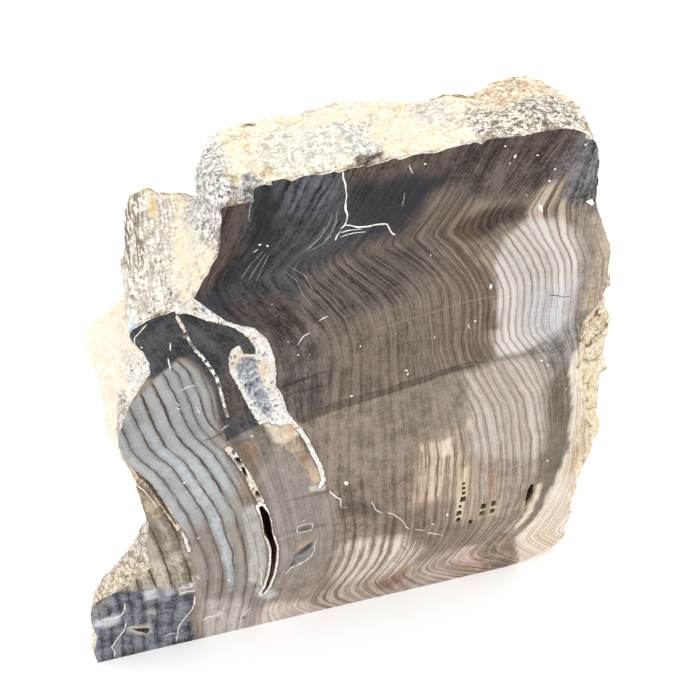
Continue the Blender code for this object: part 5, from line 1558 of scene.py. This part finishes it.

# White specks, partly painted glints of the polish: x, z and half width in mm. Then the outlines of two
# larger chips.
specks = [(35.1, 114.5, 0.6), (32.3, 105.1, 0.3), (12.8, 105.4, 0.26), (22.5, 102.3, 0.28),
          (16, 93.4, 0.36), (16.4, 92.2, 0.6), (2.4, 88.3, 0.5), (1, 57, 0.75), (-39.2, 47.2, 0.5),
          (-33.2, 25.8, 0.55), (-41.2, 29.8, 0.36), (27.1, 31, 0.5), (31.2, 34, 0.6), (-43, 113.2, 0.28),
          (-12.1, 108.2, 0.26), (4.5, 103.4, 0.26), (-10, 104, 0.26), (-7.4, 103.5, 0.26),
          (-16.5, 134.1, 0.3), (-15, 133.6, 0.26), (-15, 119.1, 0.26), (34, 148.9, 0.3),
          (36.5, 146.4, 0.36), (41.5, 146, 0.36), (35.5, 145, 0.26), (45.2, 139.7, 0.3),
          (40.4, 137.1, 0.26), (46, 142.3, 0.3), (52, 147, 0.3), (19.9, 125.5, 0.3), (17.3, 147.2, 0.26),
          (-22.3, 81.1, 0.3), (-15.4, 75.7, 0.26), (52, 88.6, 0.4), (54, 86.6, 0.34), (61, 76.8, 0.4),
          (60.4, 49, 0.4), (-40, 69.4, 0.3)]
chips = [[(54.8, 133.5), (56.3, 133.9), (57, 132.6), (56.5, 132.2)], [(43.6, 134.4), (44.4, 134),
         (45, 132.2), (43.8, 133.3)]]
speckAndGlintBuild = {"size": 0.85, "sunk": 0.12, "turn": 1.3, "flat": 0.35, "chipDepth": (-0.06, 0.6)}


def veinPoints(points, width, seed):
    # Spots along a path with the wander and uneven width of a natural vein.
    corners = np.array(points, float)
    runs = np.concatenate([[0], np.cumsum(np.hypot(*np.diff(corners, axis=0).T))])
    along = np.linspace(0, runs[-1], max(4, round(runs[-1] / veinBuild["every"])))
    x, z = [np.interp(along, runs, part) for part in corners.T]
    line = np.full(len(along), seed * 3.7)
    waves, length = veinBuild["waves"]
    x += waves * width * softNoise(along / length, line, 51)
    z += waves * width * softNoise(along / length, line, 52)
    ends = ease(np.minimum(along, runs[-1] - along), *veinBuild["taper"])
    middle, spread, length = veinBuild["uneven"]
    return x, z, width / 2 * (middle + spread * softNoise(along / length, line, 53)) * ends


def addVeins(name, runs):
    # Round threads sunk in the stone, cut flush with the polished face.
    curve = bpy.data.curves.new(name, "CURVE")
    curve.dimensions = "3D"
    curve.bevel_depth = mm
    curve.bevel_resolution = 1
    curve.use_fill_caps = True
    for seed, (width, points) in enumerate(runs):
        x, z, half = veinPoints(points, width, seed)
        spline = curve.splines.new("POLY")
        spline.points.add(len(x) - 1)
        for point, across, up, size in zip(spline.points, x, z, half):
            point.co = (*at(across, up, veinBuild["sunk"] * size), 1)
            point.radius = size
    item = addToScene(bpy.data.objects.new(name, curve))
    pickOnly(item)
    bpy.ops.object.convert(target="MESH")
    x, y, z = chartPoints(item)
    placePoints(item, x, np.maximum(y, -veinBuild["proud"]), z)
    return item


# White specks on the polished face, partly painted glints, and two chips, joined as one piece.
def addSpecksAndGlints(name):
    made = []
    for index, (x, z, half) in enumerate(specks):
        bpy.ops.object.select_all(action="DESELECT")
        bpy.ops.mesh.primitive_ico_sphere_add(subdivisions=2, radius=speckAndGlintBuild["size"] * half * mm,
                                              location=at(x, z, speckAndGlintBuild["sunk"] * half),
                                              rotation=(0, index * speckAndGlintBuild["turn"], 0))
        made.append(bpy.context.object)
        made[-1].scale = (0.75 + 0.3 * math.sin(index * 2.1), speckAndGlintBuild["flat"],
                          1.2 + 0.3 * math.cos(index * 1.7))
    made += [addPrism("chip", outline, *speckAndGlintBuild["chipDepth"]) for outline in chips]
    pickOnly(*made)
    bpy.ops.object.transform_apply(location=True, rotation=True, scale=True)
    bpy.ops.object.join()
    made[0].name = name
    return made[0]


def finishSmall(item):
    light, shade = veinFinish[item.name]
    material = newMaterial(item.name + "Finish")
    crumbs = useGroup(material.node_tree, druseGroup, Size=0.5, Stain=0.15, Holes=0.0, Light=light,
                      Shade=shade)
    finish(material, crumbs["Colour"], 0.3, 0.25)
    item.data.materials.clear()
    item.data.materials.append(material)


smallPieces = [addVeins(name, runs) for name, runs in veins.items()]
smallPieces.append(addSpecksAndGlints("whiteSpecksAndGlints"))
for item in smallPieces:
    finishSmall(item)
    pickOnly(item)
    bpy.ops.object.shade_smooth_by_angle(angle=math.radians(veinBuild["smoothBelow"]))
    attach(item, "root")
print("veins and specks added:", sum(len(item.data.polygons) for item in smallPieces), "faces")

print("stone triangles:", sum(len(face.vertices) - 2 for face in stone.data.polygons))
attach(stone, "root")
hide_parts("petrified_wood")
